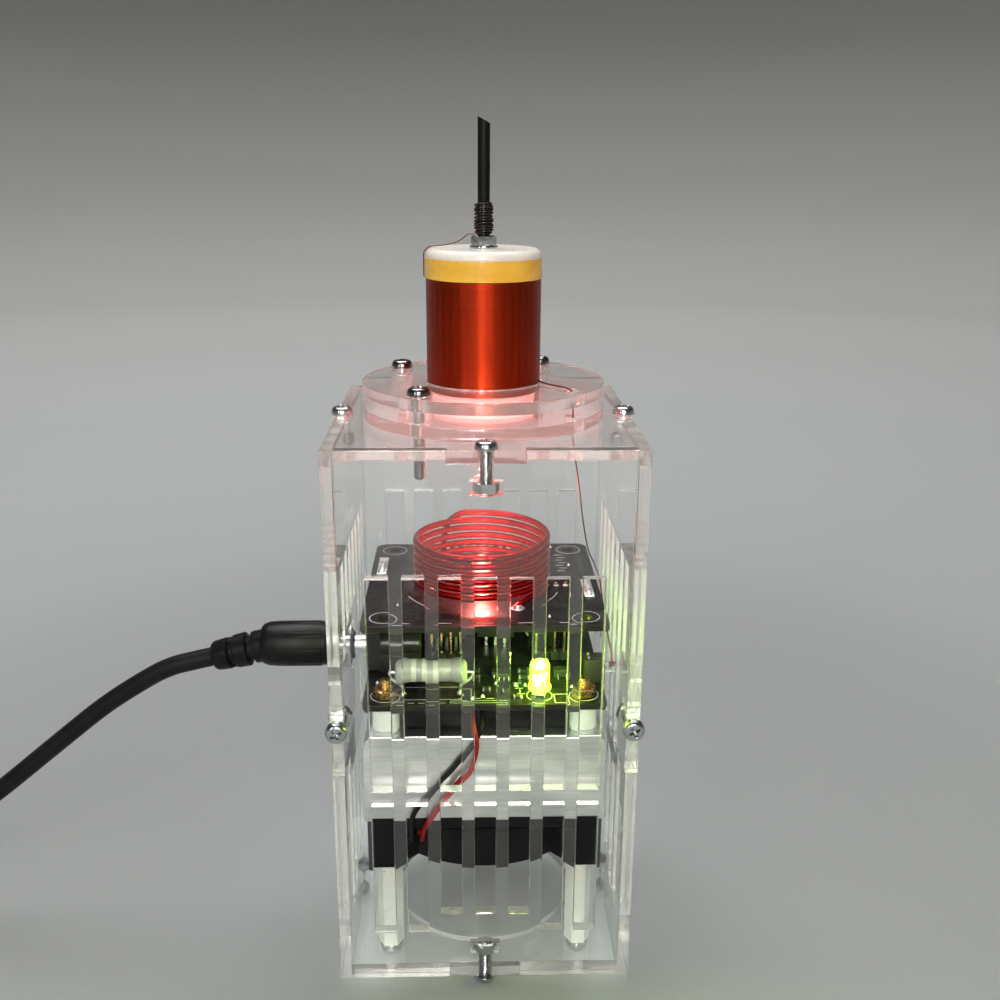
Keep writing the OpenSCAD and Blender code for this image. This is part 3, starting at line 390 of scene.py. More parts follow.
def cut_sheet(node, axis, ease=0.13, air=0.015):
    """A flat-cut sheet with eased edges, a hair smaller than the solid so that no faces meet."""
    along = "XYZ".index(axis)
    across = [i for i in range(3) if i != along]
    bottom, top = low(node)[along] + air, high(node)[along] - air
    loops = rim_loops(node, along)
    eases = [(ease * (1 - math.cos(a)), ease * (1 - math.sin(a)))
             for a in (0, math.pi / 4, math.pi / 2)]
    rows = [(air + d, bottom + h) for d, h in reversed(eases)] + [(air + d, top - h) for d,
                                                                  h in eases]
    form = Form()

    def lifted(point, height):
        place = [0, 0, 0]
        place[across[0]], place[across[1]], place[along] = point.x, point.y, height
        return tuple(place)

    for loop in loops:
        points = [lifted(q, height) for by, height in rows for q in drawn_in(loop, by, axis != "Y")]
        form.add((points, grid_faces(len(rows), len(loop))))
    rims = [drawn_in(loop, air + ease, axis != "Y") for loop in loops]
    flat = [q for rim in rims for q in rim]
    sides, first = [], 0
    for rim in rims:
        sides += [(first + k, first + (k + 1) % len(rim)) for k in range(len(rim))]
        first += len(rim)
    corners, _, tiles = delaunay_2d_cdt(flat, sides, [], 1, 1e-6)[:3]
    middles = [sum((corners[i] for i in f), Vector((0, 0))) / len(f) for f in tiles]
    fill = [f for f, middle in zip(tiles, middles) if inside(middle, rims)]
    for height in (bottom, top):
        form.add(([lifted(q, height) for q in corners], fill))
    piece = form.make(node + "_sheet", [ACRYLIC[axis]], [node], "clear_acrylic")
    mesh = bmesh.new()
    mesh.from_mesh(piece.data)
    bmesh.ops.remove_doubles(mesh, verts=mesh.verts[:], dist=1e-7)
    bmesh.ops.recalc_face_normals(mesh, faces=mesh.faces[:])
    mesh.to_mesh(piece.data)
    mesh.free()
    piece.data.set_sharp_from_angle(angle=math.radians(18))


# ----------------------------------------
# Finishes


class Finish:
    """A procedural material, with short calls for the nodes that the finishes below use."""

    def __init__(self, name, colour, rough=0.5, metal=0.0, **sockets):
        self.mat = bpy.data.materials.new(name)
        self.mat.use_nodes = True
        self.tree = self.mat.node_tree
        self.shader = self.tree.nodes["Principled BSDF"]
        self.out = self.tree.nodes["Material Output"]
        self.colour = colour
        self.shader.inputs["Base Color"].default_value = (*colour, 1)
        self.shader.inputs["Roughness"].default_value = rough
        self.shader.inputs["Metallic"].default_value = metal
        for socket, value in sockets.items():
            self.shader.inputs[socket.replace("_", " ")].default_value = value
        self.last_bump = None

    def add(self, kind, inputs=None, **settings):
        """A new node, with its inputs linked to sockets or set to values."""
        node = self.tree.nodes.new("ShaderNode" + kind)
        for key, value in settings.items():
            setattr(node, key, value)
        for key, value in (inputs or {}).items():
            if isinstance(value, bpy.types.NodeSocket):
                self.tree.links.new(value, node.inputs[key])
            else:
                node.inputs[key].default_value = value
        return node

    def place(self, scale):
        """The piece's own coordinates, stretched."""
        where = self.add("TexCoord").outputs["Object"]
        return self.add("Mapping", {"Vector": where, "Scale": scale}).outputs[0]

    def noise(self, scale, detail=3.0, stretch=(1, 1, 1), rough=0.5):
        """Noise whose grains are 1/scale metres wide."""
        return self.add("TexNoise", {"Vector": self.place(stretch), "Scale": scale,
                                     "Detail": detail, "Roughness": rough}).outputs["Fac"]

    def between(self, fac, low_value, high_value, start=0.3, end=0.7):
        """fac from start to end, turned into a number from low_value to high_value."""
        return self.add("MapRange", {"Value": fac, "From Min": start, "From Max": end,
                                     "To Min": low_value, "To Max": high_value}).outputs[0]

    def tint(self, fac, stops):
        """The base colour from a ramp over fac."""
        ramp = self.add("ValToRGB", {"Fac": fac})
        bands = ramp.color_ramp.elements
        while len(bands) < len(stops):
            bands.new(0.5)
        for band, (place, colour) in zip(bands, stops):
            band.position = place
            band.color = (*colour, 1)
        self.tree.links.new(ramp.outputs["Color"], self.shader.inputs["Base Color"])
        return ramp.outputs["Color"]

    def vary(self, fac, by=0.12):
        """The base colour a little darker and lighter over fac."""
        return self.tint(fac, [(0.25, tuple(c * (1 - by) for c in self.colour)),
                               (0.75, tuple(min(1, c * (1 + by)) for c in self.colour))])

    def feed(self, value, socket):
        """Links a value to one of the shader's sockets."""
        self.tree.links.new(value, self.shader.inputs[socket])
        return self

    def gloss(self, fac, low_value, high_value):
        """The roughness between two values over fac."""
        return self.feed(self.between(fac, low_value, high_value), "Roughness")

    def maths(self, operation, *values):
        """The result of a maths node."""
        return self.add("Math", dict(enumerate(values)), operation=operation).outputs[0]

    def bump(self, height, strength=0.2, distance=0.05):
        """Adds a bump to those already there. distance is in millimetres."""
        inputs = {"Height": height, "Strength": strength, "Distance": distance * MM}
        if self.last_bump:
            inputs["Normal"] = self.last_bump
        self.last_bump = self.add("Bump", inputs).outputs[0]
        return self.feed(self.last_bump, "Normal")

    def lets_lamps_through(self, colour):
        """Lamps shine through the piece, which the camera sees as solid glass."""
        ray = self.add("LightPath").outputs["Is Shadow Ray"]
        clear = self.add("BsdfTransparent", {"Color": (*colour, 1)}).outputs[0]
        mix = self.add("MixShader", {0: ray, 1: self.shader.outputs[0], 2: clear})
        self.tree.links.new(mix.outputs[0], self.out.inputs["Surface"])
        return self


def clear_acrylic(axis, haze):
    """Clear sheet whose faces look along axis. Its laser-cut edges are paler and finely ribbed."""
    f = Finish(f"clear_acrylic_{axis.lower()}", (1, 1, 1), 0.02, 0, IOR=1.49,
               Specular_IOR_Level=0.16)
    normal = f.add("TexCoord").outputs["Normal"]
    parts = f.add("SeparateXYZ", {0: normal})
    facing = f.maths("ABSOLUTE", parts.outputs["XYZ".index(axis)])
    edge = f.between(facing, 1.0, 0.0, 0.35, 0.9)
    f.tint(edge, [(0.0, (0.99, 0.995, 0.993)), (1.0, (0.88, 0.885, 0.88))])
    f.feed(f.between(edge, 1 - haze, 0.90, 0.0, 1.0), "Transmission Weight")
    stretch = [60, 60, 60]
    stretch["XYZ".index(axis)] = 2
    ribs = f.noise(55, 2, tuple(stretch))
    f.bump(f.maths("MULTIPLY", ribs, edge), 0.4, 0.06)
    smear = f.between(f.noise(70, 4), 0.012, 0.05, 0.45, 0.8)
    cut = f.maths("MULTIPLY", edge, 0.06)
    f.feed(f.maths("ADD", smear, cut), "Roughness")
    return f.lets_lamps_through((0.95, 0.97, 0.965)).mat


def plated_steel(name="zinc_steel", colour=(0.52, 0.54, 0.56), rough=0.17):
    f = Finish(name, colour, rough, 1.0)
    grain = f.noise(900, 3)
    f.vary(f.noise(260, 4), 0.14)
    f.gloss(grain, rough * 0.7, rough * 1.7)
    return f.bump(grain, 0.12, 0.02).mat


def brass():
    f = Finish("brass", (0.62, 0.42, 0.16), 0.22, 1.0)
    f.tint(f.noise(320, 4), [(0.3, (0.46, 0.29, 0.10)), (0.7, (0.66, 0.46, 0.19))])
    grain = f.noise(1200, 3)
    f.gloss(grain, 0.16, 0.4)
    return f.bump(grain, 0.1, 0.02).mat


def milky_nylon(name, colour, clear, rough=0.34):
    """White nylon that lets some light through."""
    f = Finish(name, colour, rough, 0, IOR=1.5, Transmission_Weight=clear, Subsurface_Weight=0.35,
               Subsurface_Scale=0.002)
    f.shader.inputs["Subsurface Radius"].default_value = (1.0, 1.0, 0.9)
    f.vary(f.noise(180, 3), 0.05)
    grain = f.noise(1400, 2)
    f.gloss(grain, rough * 0.8, rough * 1.3)
    f.bump(grain, 0.08, 0.03)
    return f.lets_lamps_through((0.6, 0.6, 0.58)).mat if clear > 0.3 else f.mat


def moulded(name, colour, rough=0.42, grain_size=1500, coat=0.0, depth=0.03):
    """Moulded plastic with a fine grain and a slightly uneven gloss."""
    f = Finish(name, colour, rough, 0, Coat_Weight=coat, Coat_Roughness=0.12,
               Specular_IOR_Level=0.14)
    f.vary(f.noise(140, 4), 0.16)
    grain = f.noise(grain_size, 2)
    f.gloss(f.noise(220, 4), rough * 0.82, min(1, rough * 1.25))
    return f.bump(grain, 0.16, depth).mat


def extruded_aluminium():
    """Milled and tumbled aluminium with fine lines along the extrusion."""
    f = Finish("sink_aluminium", (0.70, 0.715, 0.73), 0.36, 1.0)
    lines = f.noise(60, 4, (1, 22, 22))
    f.tint(lines, [(0.3, (0.60, 0.615, 0.63)), (0.7, (0.77, 0.785, 0.80))])
    f.gloss(f.noise(90, 3), 0.28, 0.46)
    f.bump(lines, 0.18, 0.03)
    return f.bump(f.noise(1600, 2), 0.08, 0.02).mat


def solder_mask():
    """Black gloss mask over faint copper tracks; the board's cut edge shows brown laminate."""
    f = Finish("board_black", (0.008, 0.008, 0.009), 0.34, 0, Specular_IOR_Level=0.1)
    where = f.place((1, 1, 0))
    cells = f.add("TexVoronoi", {"Vector": where, "Scale": 190.0, "Randomness": 0.75},
                  feature="DISTANCE_TO_EDGE", distance="MANHATTAN").outputs["Distance"]
    tracks = f.between(cells, 1.0, 0.0, 0.04, 0.10)
    parts = f.add("SeparateXYZ", {0: f.add("TexCoord").outputs["Normal"]})
    flat = f.maths("ABSOLUTE", parts.outputs[2])
    mask = f.tint(tracks, [(0.0, (0.006, 0.006, 0.007)), (1.0, (0.013, 0.014, 0.015))])
    fibre = f.noise(700, 3, (1, 1, 6))
    edge = f.add("ValToRGB", {"Fac": fibre})
    edge.color_ramp.elements[0].color = (0.010, 0.010, 0.008, 1)
    edge.color_ramp.elements[1].color = (0.024, 0.023, 0.018, 1)
    mix = f.add("Mix", {0: f.between(flat, 0.0, 1.0, 0.5, 0.9), 6: edge.outputs[0], 7: mask},
                data_type="RGBA")
    f.feed(mix.outputs[2], "Base Color")
    f.gloss(f.noise(300, 3), 0.28, 0.42)
    f.bump(tracks, 0.35, 0.03)
    return f.bump(f.noise(2500, 2), 0.05, 0.02).mat


def print_white():
    """Screen-printed ink, thin in places."""
    colour = (0.40, 0.41, 0.41)
    f = Finish("board_print", colour, 0.55)
    grain = f.noise(2600, 3)
    f.tint(grain, [(0.25, tuple(c * 0.6 for c in colour)), (0.6, colour)])
    return f.bump(grain, 0.2, 0.02).mat


def copper(name, dark, light, rough, stretch=(1, 1, 1), coat=0.0, play=0.3):
    """Enamelled copper wire whose colour and gloss differ a little from turn to turn."""
    f = Finish(name, light, rough, 1.0, Coat_Weight=coat, Coat_Roughness=0.1)
    turns = f.noise(400, 3, stretch)
    f.tint(turns, [(0.3, dark), (0.7, light)])
    f.gloss(f.noise(500, 3, stretch), rough * (1 - play), rough * (1 + play))
    return f.bump(f.noise(1500, 2), 0.08, 0.02).mat


def red_enamel():
    """Clear red enamel over copper: deep red with copper showing through where it is thin."""
    f = Finish("primary_red", (0.46, 0.01, 0.008), 0.2, 0.88, Specular_IOR_Level=0.3,
               Coat_Weight=0.12,
               Coat_Roughness=0.05)
    patches = f.noise(240, 4)
    f.tint(patches, [(0.3, (0.28, 0.003, 0.005)), (0.55, (0.34, 0.006, 0.009)),
                     (0.8, (0.38, 0.014, 0.012))])
    f.gloss(f.noise(600, 3), 0.14, 0.22)
    return f.bump(f.noise(900, 3), 0.03, 0.02).mat


def insulating_film():
    """Amber polyimide film over pale windings: darker where it overlaps."""
    f = Finish("yellow_tape", (0.88, 0.46, 0.07), 0.26, 0, Coat_Weight=0.3, Coat_Roughness=0.1,
               Subsurface_Weight=0.15, Subsurface_Scale=0.001)
    f.tint(f.noise(130, 4, (1, 1, 2.2)), [(0.3, (0.70, 0.37, 0.028)), (0.7, (0.80, 0.48, 0.062))])
    f.gloss(f.noise(200, 3), 0.18, 0.4)
    return f.bump(f.noise(260, 3, (1, 1, 3)), 0.18, 0.08).mat


def lamp_lens(name, colour, glow, strength):
    """Tinted epoxy of a lit lamp, which glows a little all through."""
    f = Finish(name, colour, 0.08, 0, IOR=1.52, Transmission_Weight=0.85,
               Emission_Strength=strength)
    f.shader.inputs["Emission Color"].default_value = (*glow, 1)
    f.vary(f.noise(300, 2), 0.06)
    f.gloss(f.noise(420, 3), 0.05, 0.14)
    return f.lets_lamps_through(colour).mat


def lamp_core(name, colour, glow, strength):
    """The lit chip and its cup inside a lamp."""
    f = Finish(name, colour, 0.4, 0, Emission_Strength=strength)
    f.vary(f.noise(900, 2), 0.2)
    f.shader.inputs["Emission Color"].default_value = (*glow, 1)
    return f.mat


def ceramic(name, colour):
    """Cement-coated resistor body."""
    f = Finish(name, colour, 0.48, 0, Coat_Weight=0.25, Coat_Roughness=0.25)
    f.vary(f.noise(420, 4), 0.14)
    grain = f.noise(1500, 3)
    f.gloss(grain, 0.36, 0.6)
    return f.bump(f.noise(300, 3), 0.2, 0.05).bump(grain, 0.1, 0.02).mat


def worn_black(name, rough=0.42, colour=(0.008, 0.008, 0.009), grain_size=900):
    """Black flexible plastic of a cord or boot, with pale scuffs."""
    f = Finish(name, colour, rough, 0, Specular_IOR_Level=0.16)
    scuff = f.noise(55, 6, rough=0.62)
    f.tint(scuff, [(0.42, colour), (0.66, tuple(c * 1.8 for c in colour)),
                   (0.85, (0.022, 0.022, 0.023))])
    f.gloss(f.noise(90, 5), rough * 0.75, rough * 1.3)
    f.bump(f.noise(60, 3), 0.12, 0.1)
    return f.bump(f.noise(grain_size, 3), 0.14, 0.03).mat


ACRYLIC = {axis: clear_acrylic(axis, haze)
           for axis, haze in (("X", 0.008), ("Y", 0.005), ("Z", 0.03))}
ZINC = plated_steel()
DARK_STEEL = plated_steel("dark_chrome", (0.26, 0.25, 0.26), 0.14)
POLISHED = plated_steel("polished_steel", (0.80, 0.81, 0.82), 0.14)
TINNED = plated_steel("tinned_wire", (0.78, 0.79, 0.80), 0.26)
SOLDER = plated_steel("solder", (0.72, 0.73, 0.74), 0.3)
GOLD = copper("gold_pin", (0.80, 0.58, 0.24), (0.95, 0.76, 0.38), 0.2)
BRASS = brass()
NYLON = milky_nylon("white_nylon", (0.74, 0.78, 0.74), 0.6)
WHITE = milky_nylon("spacer_white", (0.55, 0.60, 0.57), 0.0, 0.4)
CAP = milky_nylon("cap_white", (0.72, 0.69, 0.64), 0.0, 0.3)
TUBE_WHITE = milky_nylon("tube_white", (0.80, 0.80, 0.77), 0.0, 0.38)
FAN_BLACK = moulded("fan_black", (0.004, 0.004, 0.005), 0.42)
HEADER_BLACK = moulded("header_black", (0.018, 0.018, 0.020), 0.36)
JACK_BLACK = moulded("jack_black", (0.014, 0.014, 0.015), 0.3, 1500, 0.2)
PACKAGE_BLACK = moulded("package_black", (0.020, 0.020, 0.022), 0.5, 2200)
CAPACITOR_BLACK = moulded("capacitor_black", (0.026, 0.027, 0.032), 0.3, 1200, 0.3)
SLEEVE_BLACK = moulded("sleeve_black", (0.012, 0.012, 0.016), 0.22, 700, 0.4)
ROD_BLACK = moulded("rod_black", (0.004, 0.004, 0.0045), 0.45, 900, depth=0.06)
MAGNET = moulded("magnet", (0.06, 0.06, 0.065), 0.5)
ALUMINIUM = extruded_aluminium()
BOARD_BLACK = solder_mask()
PRINT = print_white()
COIL_COPPER = copper("copper_coil", (0.50, 0.20, 0.07), (0.78, 0.38, 0.16), 0.3, (1, 1, 5), 0.4)
ENAMEL = copper("enamelled_copper", (0.37, 0.032, 0.008), (0.42, 0.039, 0.010), 0.33,
                (0.05, 0.05, 5), play=0.1)
DARK_WIRE = copper("dark_wire", (0.05, 0.012, 0.006), (0.16, 0.035, 0.015), 0.36, coat=0.2)
WRAP_WIRE = moulded("wrap_wire", (0.014, 0.008, 0.006), 0.32, 800, 0.5)
RED_COIL = red_enamel()
TAPE = insulating_film()
RESISTOR = ceramic("resistor_grey", (0.22, 0.24, 0.22))
BAND = ceramic("resistor_band", (0.40, 0.42, 0.37))
RED_WIRE = moulded("fan_lead_red", (0.15, 0.006, 0.008), 0.4, 700)
BLACK_WIRE = moulded("fan_lead_black", (0.008, 0.008, 0.009), 0.4, 700)
CORD_BLACK = worn_black("cord_black", 0.42, (0.006, 0.006, 0.007))
PLUG_BLACK = worn_black("plug_black", 0.36, (0.005, 0.005, 0.0055), 1300)
TIE_GREY = worn_black("tie_grey", 0.7, (0.035, 0.035, 0.038), 600)
GREEN = (0.50, 1.0, 0.02)
RED = (1.0, 0.085, 0.05)
GREEN_LENS = lamp_lens("light_green", (0.72, 1.0, 0.25), GREEN, 1.1)
GREEN_CORE = lamp_core("light_green_core", (0.8, 1.0, 0.4), (0.85, 1.0, 0.35), 45.0)
RED_LENS = lamp_lens("light_red", (1.0, 0.30, 0.26), RED, 1.6)
RED_CORE = lamp_core("light_red_core", (1.0, 0.5, 0.4), (1.0, 0.14, 0.10), 160.0)


# ----------------------------------------
# Camera, floor and lamps


def make_camera():
    """The photograph's view."""
    place = Vector((-4.714, -274.118, 205.53)) * MM
    yaw, pitch, roll = (math.radians(a) for a in (1.902, 17.157, 0.361))
    forward = Vector((math.sin(yaw) * math.cos(pitch), math.cos(yaw) * math.cos(pitch),
                      -math.sin(pitch)))
    level = Vector((math.cos(yaw), -math.sin(yaw), 0))
    upright = level.cross(forward)
    right = math.cos(roll) * level + math.sin(roll) * upright
    up = math.cos(roll) * upright - math.sin(roll) * level
    camera = placed("camera", bpy.data.cameras.new("camera"))
    camera.data.sensor_width, camera.data.lens = 36, 39.33
    camera.data.clip_start, camera.data.clip_end = 0.01, 20
    turn = Matrix((right, up, -forward)).transposed().to_4x4()
    camera.matrix_world = Matrix.Translation(place) @ turn
    bpy.context.scene.camera = camera


def make_backdrop():
    """A pale round floor that curves up into a wall on every side, in metres. Its colour carries
    painted light and shade, graded by distance from the middle: painted darker near the part,
    painted lighter part way out, and painted darker again up the wall.
    """
    flat, bend, wall_top, tone_reach = 1.5, 0.9, 3.2, 3.2
    f = Finish("backdrop", (0.55, 0.57, 0.57), 0.7, 0, Specular_IOR_Level=0.2)
    parts = f.add("SeparateXYZ", {0: f.add("TexCoord").outputs["Object"]})
    spread = f.add("CombineXYZ", {0: parts.outputs[0], 1: parts.outputs[1]})
    away = f.add("VectorMath", {0: spread.outputs[0]}, operation="LENGTH").outputs["Value"]
    reach = f.maths("ADD", away, parts.outputs[2])
    far = f.between(reach, 0.0, 1.0, 0.0, tone_reach)
    # Painted light and shade: each tone stands in for how brightly the lamps light the floor and
    # wall at that distance, with a slight warm-to-cool shift that goes with it.
    painted_light_tones = ((0.0, 0.265), (0.03, 0.27), (0.06, 0.285), (0.08, 0.31), (0.1, 0.35), (0.14, 0.383),
             (0.21, 0.425), (0.31, 0.52), (0.41, 0.68), (0.5, 0.79), (0.585, 0.765), (0.66, 0.68),
             (0.73, 0.61), (0.79, 0.545), (0.83, 0.48), (0.87, 0.41), (1.0, 0.33))
    f.tint(far, [(share, (tone * min(1, 0.94 + 0.1 * share), tone, tone * (1.01 - 0.05 * share)))
                 for share, tone in painted_light_tones])
    rows = [(0.01, 0.0), (0.5, 0.0), (1.0, 0.0), (flat, 0.0)]
    rows += [(flat + bend * math.sin(a), bend - bend * math.cos(a))
             for a in (math.radians(6 * k) for k in range(1, 16))]
    rows += [(flat + bend, 2 * bend), (flat + bend, wall_top)]
    points, faces = revolve(rows, 128)
    mesh = bpy.data.meshes.new("backdrop")
    mesh.from_pydata(points, [], faces[:-1])
    mesh.materials.append(f.mat)
    mesh.polygons.foreach_set("use_smooth", [True] * len(mesh.polygons))
    sheet = placed("backdrop", mesh)


def lamp(name, place, aim, size, power, colour=(1, 1, 1)):
    """A soft rectangular lamp, in metres and watts."""
    light = bpy.data.lights.new(name, "AREA")
    light.shape = "RECTANGLE"
    light.size, light.size_y = size
    light.energy = power
    light.color = colour
    holder = placed(name, light)
    holder.location = place
    holder.rotation_euler = (Vector(aim) - Vector(place)).to_track_quat("-Z", "Y").to_euler()


def glow(name, place, power, colour, cone=None):
    """Light of a lit lamp: all round, or upwards in a cone of so many degrees."""
    light = bpy.data.lights.new(name, "SPOT" if cone else "POINT")
    light.energy = power
    light.color = colour
    light.shadow_soft_size = 0.0015
    holder = placed(name, light)
    holder.location = place * MM
    holder.visible_camera = False
    holder.visible_transmission = False
    if cone:
        light.spot_size = math.radians(cone)
        light.spot_blend = 0.8
        holder.rotation_euler = (math.pi, 0, 0)


def make_lamps():
    """Soft lamps over and beside the part, the glow of its own two lamps, and a dim world."""
    lamp("overhead", (-0.1, 0.45, 1.35), (0, 0.2, 0), (1.1, 0.9), 20.0, (1.0, 0.99, 0.98))
    lamp("front", (-0.06, -0.8, 0.48), (0, 0, 0.14), (0.12, 0.5), 5.2, (1.0, 0.95, 0.88))
    lamp("left", (-0.58, -0.8, 0.5), (0, 0, 0.14), (0.05, 0.5), 1.3, (1.0, 0.98, 0.96))
    lamp("right", (0.19, -0.8, 0.48), (0, 0, 0.14), (0.03, 0.5), 1.2, (1.0, 0.88, 0.66))
    glow("coil_beam", PRIMARY_AT + Vector((0, 0, 13.7)), 0.21, (1.0, 0.16, 0.17), 100)
    glow("coil_glow", PRIMARY_AT + Vector((0, 0, 9.7)), 0.09, (1.0, 0.24, 0.20))
    glow("status_glow", STATUS_AT + Vector((0, -3.9, 10.9)), 0.055, (0.62, 1.0, 0.03))
    world = bpy.data.worlds.new("studio")
    world.use_nodes = True
    back = world.node_tree.nodes["Background"]
    back.inputs["Color"].default_value = (0.78, 0.81, 0.83, 1)
    back.inputs["Strength"].default_value = 0.16
    bpy.context.scene.world = world
    bpy.context.scene.view_settings.view_transform = "Standard"


make_camera()
make_backdrop()
make_lamps()


# ----------------------------------------
# Supply lead: the same route as the solids follow

CORD_D = 5.0
JACK_Y = -7.0
JACK_Z = LOWER_TOP + 6.4
PLUG_FRONT = -BOARD - 4.3
PLUG_REAR = PLUG_FRONT - 23.8
RELIEF_TILT = math.radians(13)
RELIEF_ROOT = PLUG_REAR + 2.5
RELIEF_LEN = 16.0
RELIEF_END = Vector((RELIEF_ROOT - RELIEF_LEN * math.cos(RELIEF_TILT), JACK_Y,
                     JACK_Z - RELIEF_LEN * math.sin(RELIEF_TILT)))
COIL_LAYER = CORD_D + 0.5
COIL_LOW = CORD_D / 2 + 0.6 + 0.3
COIL_HIGH = COIL_LOW + COIL_LAYER
COIL_LOOPS = 3
COIL_OUT = 35.75
COIL_IN = COIL_OUT - COIL_LOOPS * COIL_LAYER
COIL_AT = Vector((-203, JACK_Y + COIL_OUT, 0))
SOCKET_R = 5.2
TAIL_X = COIL_OUT + 0.4


def coil_radius(i):
    """The coil's radius after i steps of 15 degrees: inwards on the upper layer, then out again."""
    half = 24 * COIL_LOOPS
    return COIL_OUT - (COIL_OUT - COIL_IN) * (1 - abs(1 - i / half))


def coil_point(i):
    """The centreline after i steps: it drops to the lower layer half-way."""
    half = 24 * COIL_LOOPS
    drop = min(1, max(0, (i - half + 6) / 12))
    a = math.radians(-90 - 15 * i)
    return COIL_AT + Vector(polar(coil_radius(i), a, COIL_HIGH - COIL_LAYER * drop))


def cord_line():
    """The lead's centreline, from the strain relief to the socket."""
    fall = [(-83, 77), (-90, 73.4), (-102, 65.4), (-117, 53.2), (-133, 40), (-148, 29),
            (-163, 19.7), (-176, 13.6), (-187, 10.2), (-193, COIL_HIGH), (-198, COIL_HIGH)]
    down = Vector((-math.cos(RELIEF_TILT), 0, -math.sin(RELIEF_TILT)))
    free = [RELIEF_END, RELIEF_END + CORD_D * down] + [Vector((x, JACK_Y, z)) for x, z in fall]
    steps_per_loop = 72
    last = (48 * COIL_LOOPS - 7) * steps_per_loop // 24
    loops = [coil_point(k * 24 / steps_per_loop) for k in range(last + 1)]
    tail = [loops[-1]] + [
        COIL_AT + Vector(q) for q in (
            (TAIL_X - 1.2, 3.5, COIL_LOW), (TAIL_X - 0.2, -2, COIL_LOW + 0.5),
            (TAIL_X, -7, SOCKET_R - 0.3), (TAIL_X, -11.5, SOCKET_R), (TAIL_X, -16, SOCKET_R))
    ]
    return smooth_path(free + [loops[0]], 8)[:-1] + loops[:-1] + smooth_path(tail, 6)


def make_cord():
    """The lead as a curve, and its length in metres."""
    line = cord_line()
    curve = bpy.data.curves.new("supply_cord_soft", "CURVE")
    curve.dimensions = "3D"
    curve.bevel_depth = CORD_D / 2 * MM
    curve.bevel_resolution = 6
    curve.use_fill_caps = True
    spline = curve.splines.new("POLY")
    spline.points.add(len(line) - 1)
    for point, p in zip(spline.points, line):
        point.co = (*(p * MM), 1)
    spline.use_smooth = True
    curve.materials.append(CORD_BLACK)
    cord = placed("supply_cord_soft", curve)
    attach(cord, "supply_lead")
    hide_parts("supply_cord", "cord_coil")
    length = sum((b - a).length for a, b in zip(line, line[1:])) * MM
    return cord, length


def make_plug():
    """Barrel plug: nickel sleeve, moulded body with a waist, and a ringed strain relief."""
    front, rear = PLUG_FRONT, PLUG_REAR
    leftwards = at(front, JACK_Y, JACK_Z, (-1, 0, 0))
    long = front - rear
    body = [(0.2, 0.05), (4.9, 0.05), (5.5, 0.25), (5.9, 0.8), (6.0, 1.6), (6.0, 6.2), (5.72, 6.7),
            (5.72, 7.5), (6.0, 8.0), (5.98, long - 5), (5.8, long - 2.2), (5.3, long - 0.7),
            (4.6, long - 0.1), (0.2, long)]
    form = Form().add(revolve(body, 64), leftwards)
    for k in range(8):
        rib = at(front - 12.5, JACK_Y, JACK_Z) @ Matrix.Rotation(TURN * k / 8, 4, "X")
        form.add(block((9, 1.4, 0.5), 0.22), rib @ at(0, 0, 5.9))
    down = Matrix.Translation((RELIEF_ROOT, JACK_Y, JACK_Z)) @ Matrix.Rotation(-RELIEF_TILT, 4, "Y")
    boot = [(0.2, 0), (4.25, 0.0), (4.3, 4.2), (4.2, 4.6), (3.35, 4.75), (3.3, 5.9), (4.15, 6.1),
            (4.55, 6.4), (4.4, 9.5), (4.1, 9.85), (3.15, 10.0), (3.1, 11.1), (3.9, 11.3),
            (4.2, 11.6),
            (3.95, 14.7), (3.7, 15.3), (3.3, 15.7), (2.62, 15.98), (0.2, 15.98)]
    form.add(revolve(boot, 48), down @ at(0, 0, 0, (-1, 0, 0)))
    for z, spin in ((5.3, 0), (10.5, 90)):
        for side in (0, 180):
            web = down @ at(0, 0, 0, (-1, 0, 0)) @ Matrix.Rotation(math.radians(spin + side), 4,
                                                                   "Z")
            form.add(block((1.7, 2.4, 1.6), 0.2), web @ Matrix.Translation((3.1, 0, z)))
    sleeve = [(1.1, -9.4), (1.25, -9.5), (2.55, -9.5), (2.75, -9.25), (2.75, 0.6), (2.3, 0.6),
              (2.3, -0.5), (1.1, -0.5)]
    form.add(revolve(sleeve, 48, ring=True), leftwards, 1)
    form.add(revolve([(1.12, -9.3), (2.2, -9.52), (2.2, -8.6), (1.12, -8.6)], 36, ring=True),
             leftwards)
    form.add(revolve([(2.74, -1.0), (3.6, -0.8), (3.8, -0.3), (3.8, 0.3), (2.74, 0.3)], 36,
                     ring=True),
             leftwards)
    return form.make("supply_plug_body", [PLUG_BLACK, POLISHED], ["supply_plug"], "plug_black",
                     body="supply_lead")


def make_socket():
    """In-line socket at the lead's far end, lying on the table."""
    place = at(COIL_AT.x + TAIL_X, COIL_AT.y - 16, SOCKET_R, (0, -1, 0))
    shell = [(0.2, 0.02), (2.6, 0.02), (3.15, 0.3), (3.55, 2.3), (3.4, 2.6), (2.95, 2.8),
             (2.95, 3.9),
             (3.7, 4.1), (3.95, 4.5), (4.25, 6.7), (4.1, 7.1), (3.3, 7.3), (3.3, 8.5), (4.4, 8.8),
             (4.8, 9.4), (5.15, 11.6), (5.2, 12.4), (5.2, 33.6), (5.0, 34.3), (4.4, 34.6),
             (3.1, 34.55), (2.95, 34.2), (2.95, 24.1), (0.2, 24.1)]
    form = Form().add(revolve(shell, 56), place)
    for k in range(10):
        rib = place @ Matrix.Rotation(TURN * k / 10, 4, "Z")
        form.add(block((0.5, 1.1, 14), 0.2), rib @ Matrix.Translation((5.02, 0, 22)))
    form.add(revolve([(0.96, 24), (0.96, 32.4), (0.7, 33), (0.2, 33.2), (0.2, 24)], 24, ring=True),
             place, 1)
    form.add(revolve([(2.62, 24.2), (2.9, 24.2), (2.9, 33.4), (2.62, 33.4)], 40, ring=True), place,
             1)
    return form.make("cord_socket_body", [PLUG_BLACK, POLISHED], ["cord_socket"], "plug_black",
                     body="supply_lead")


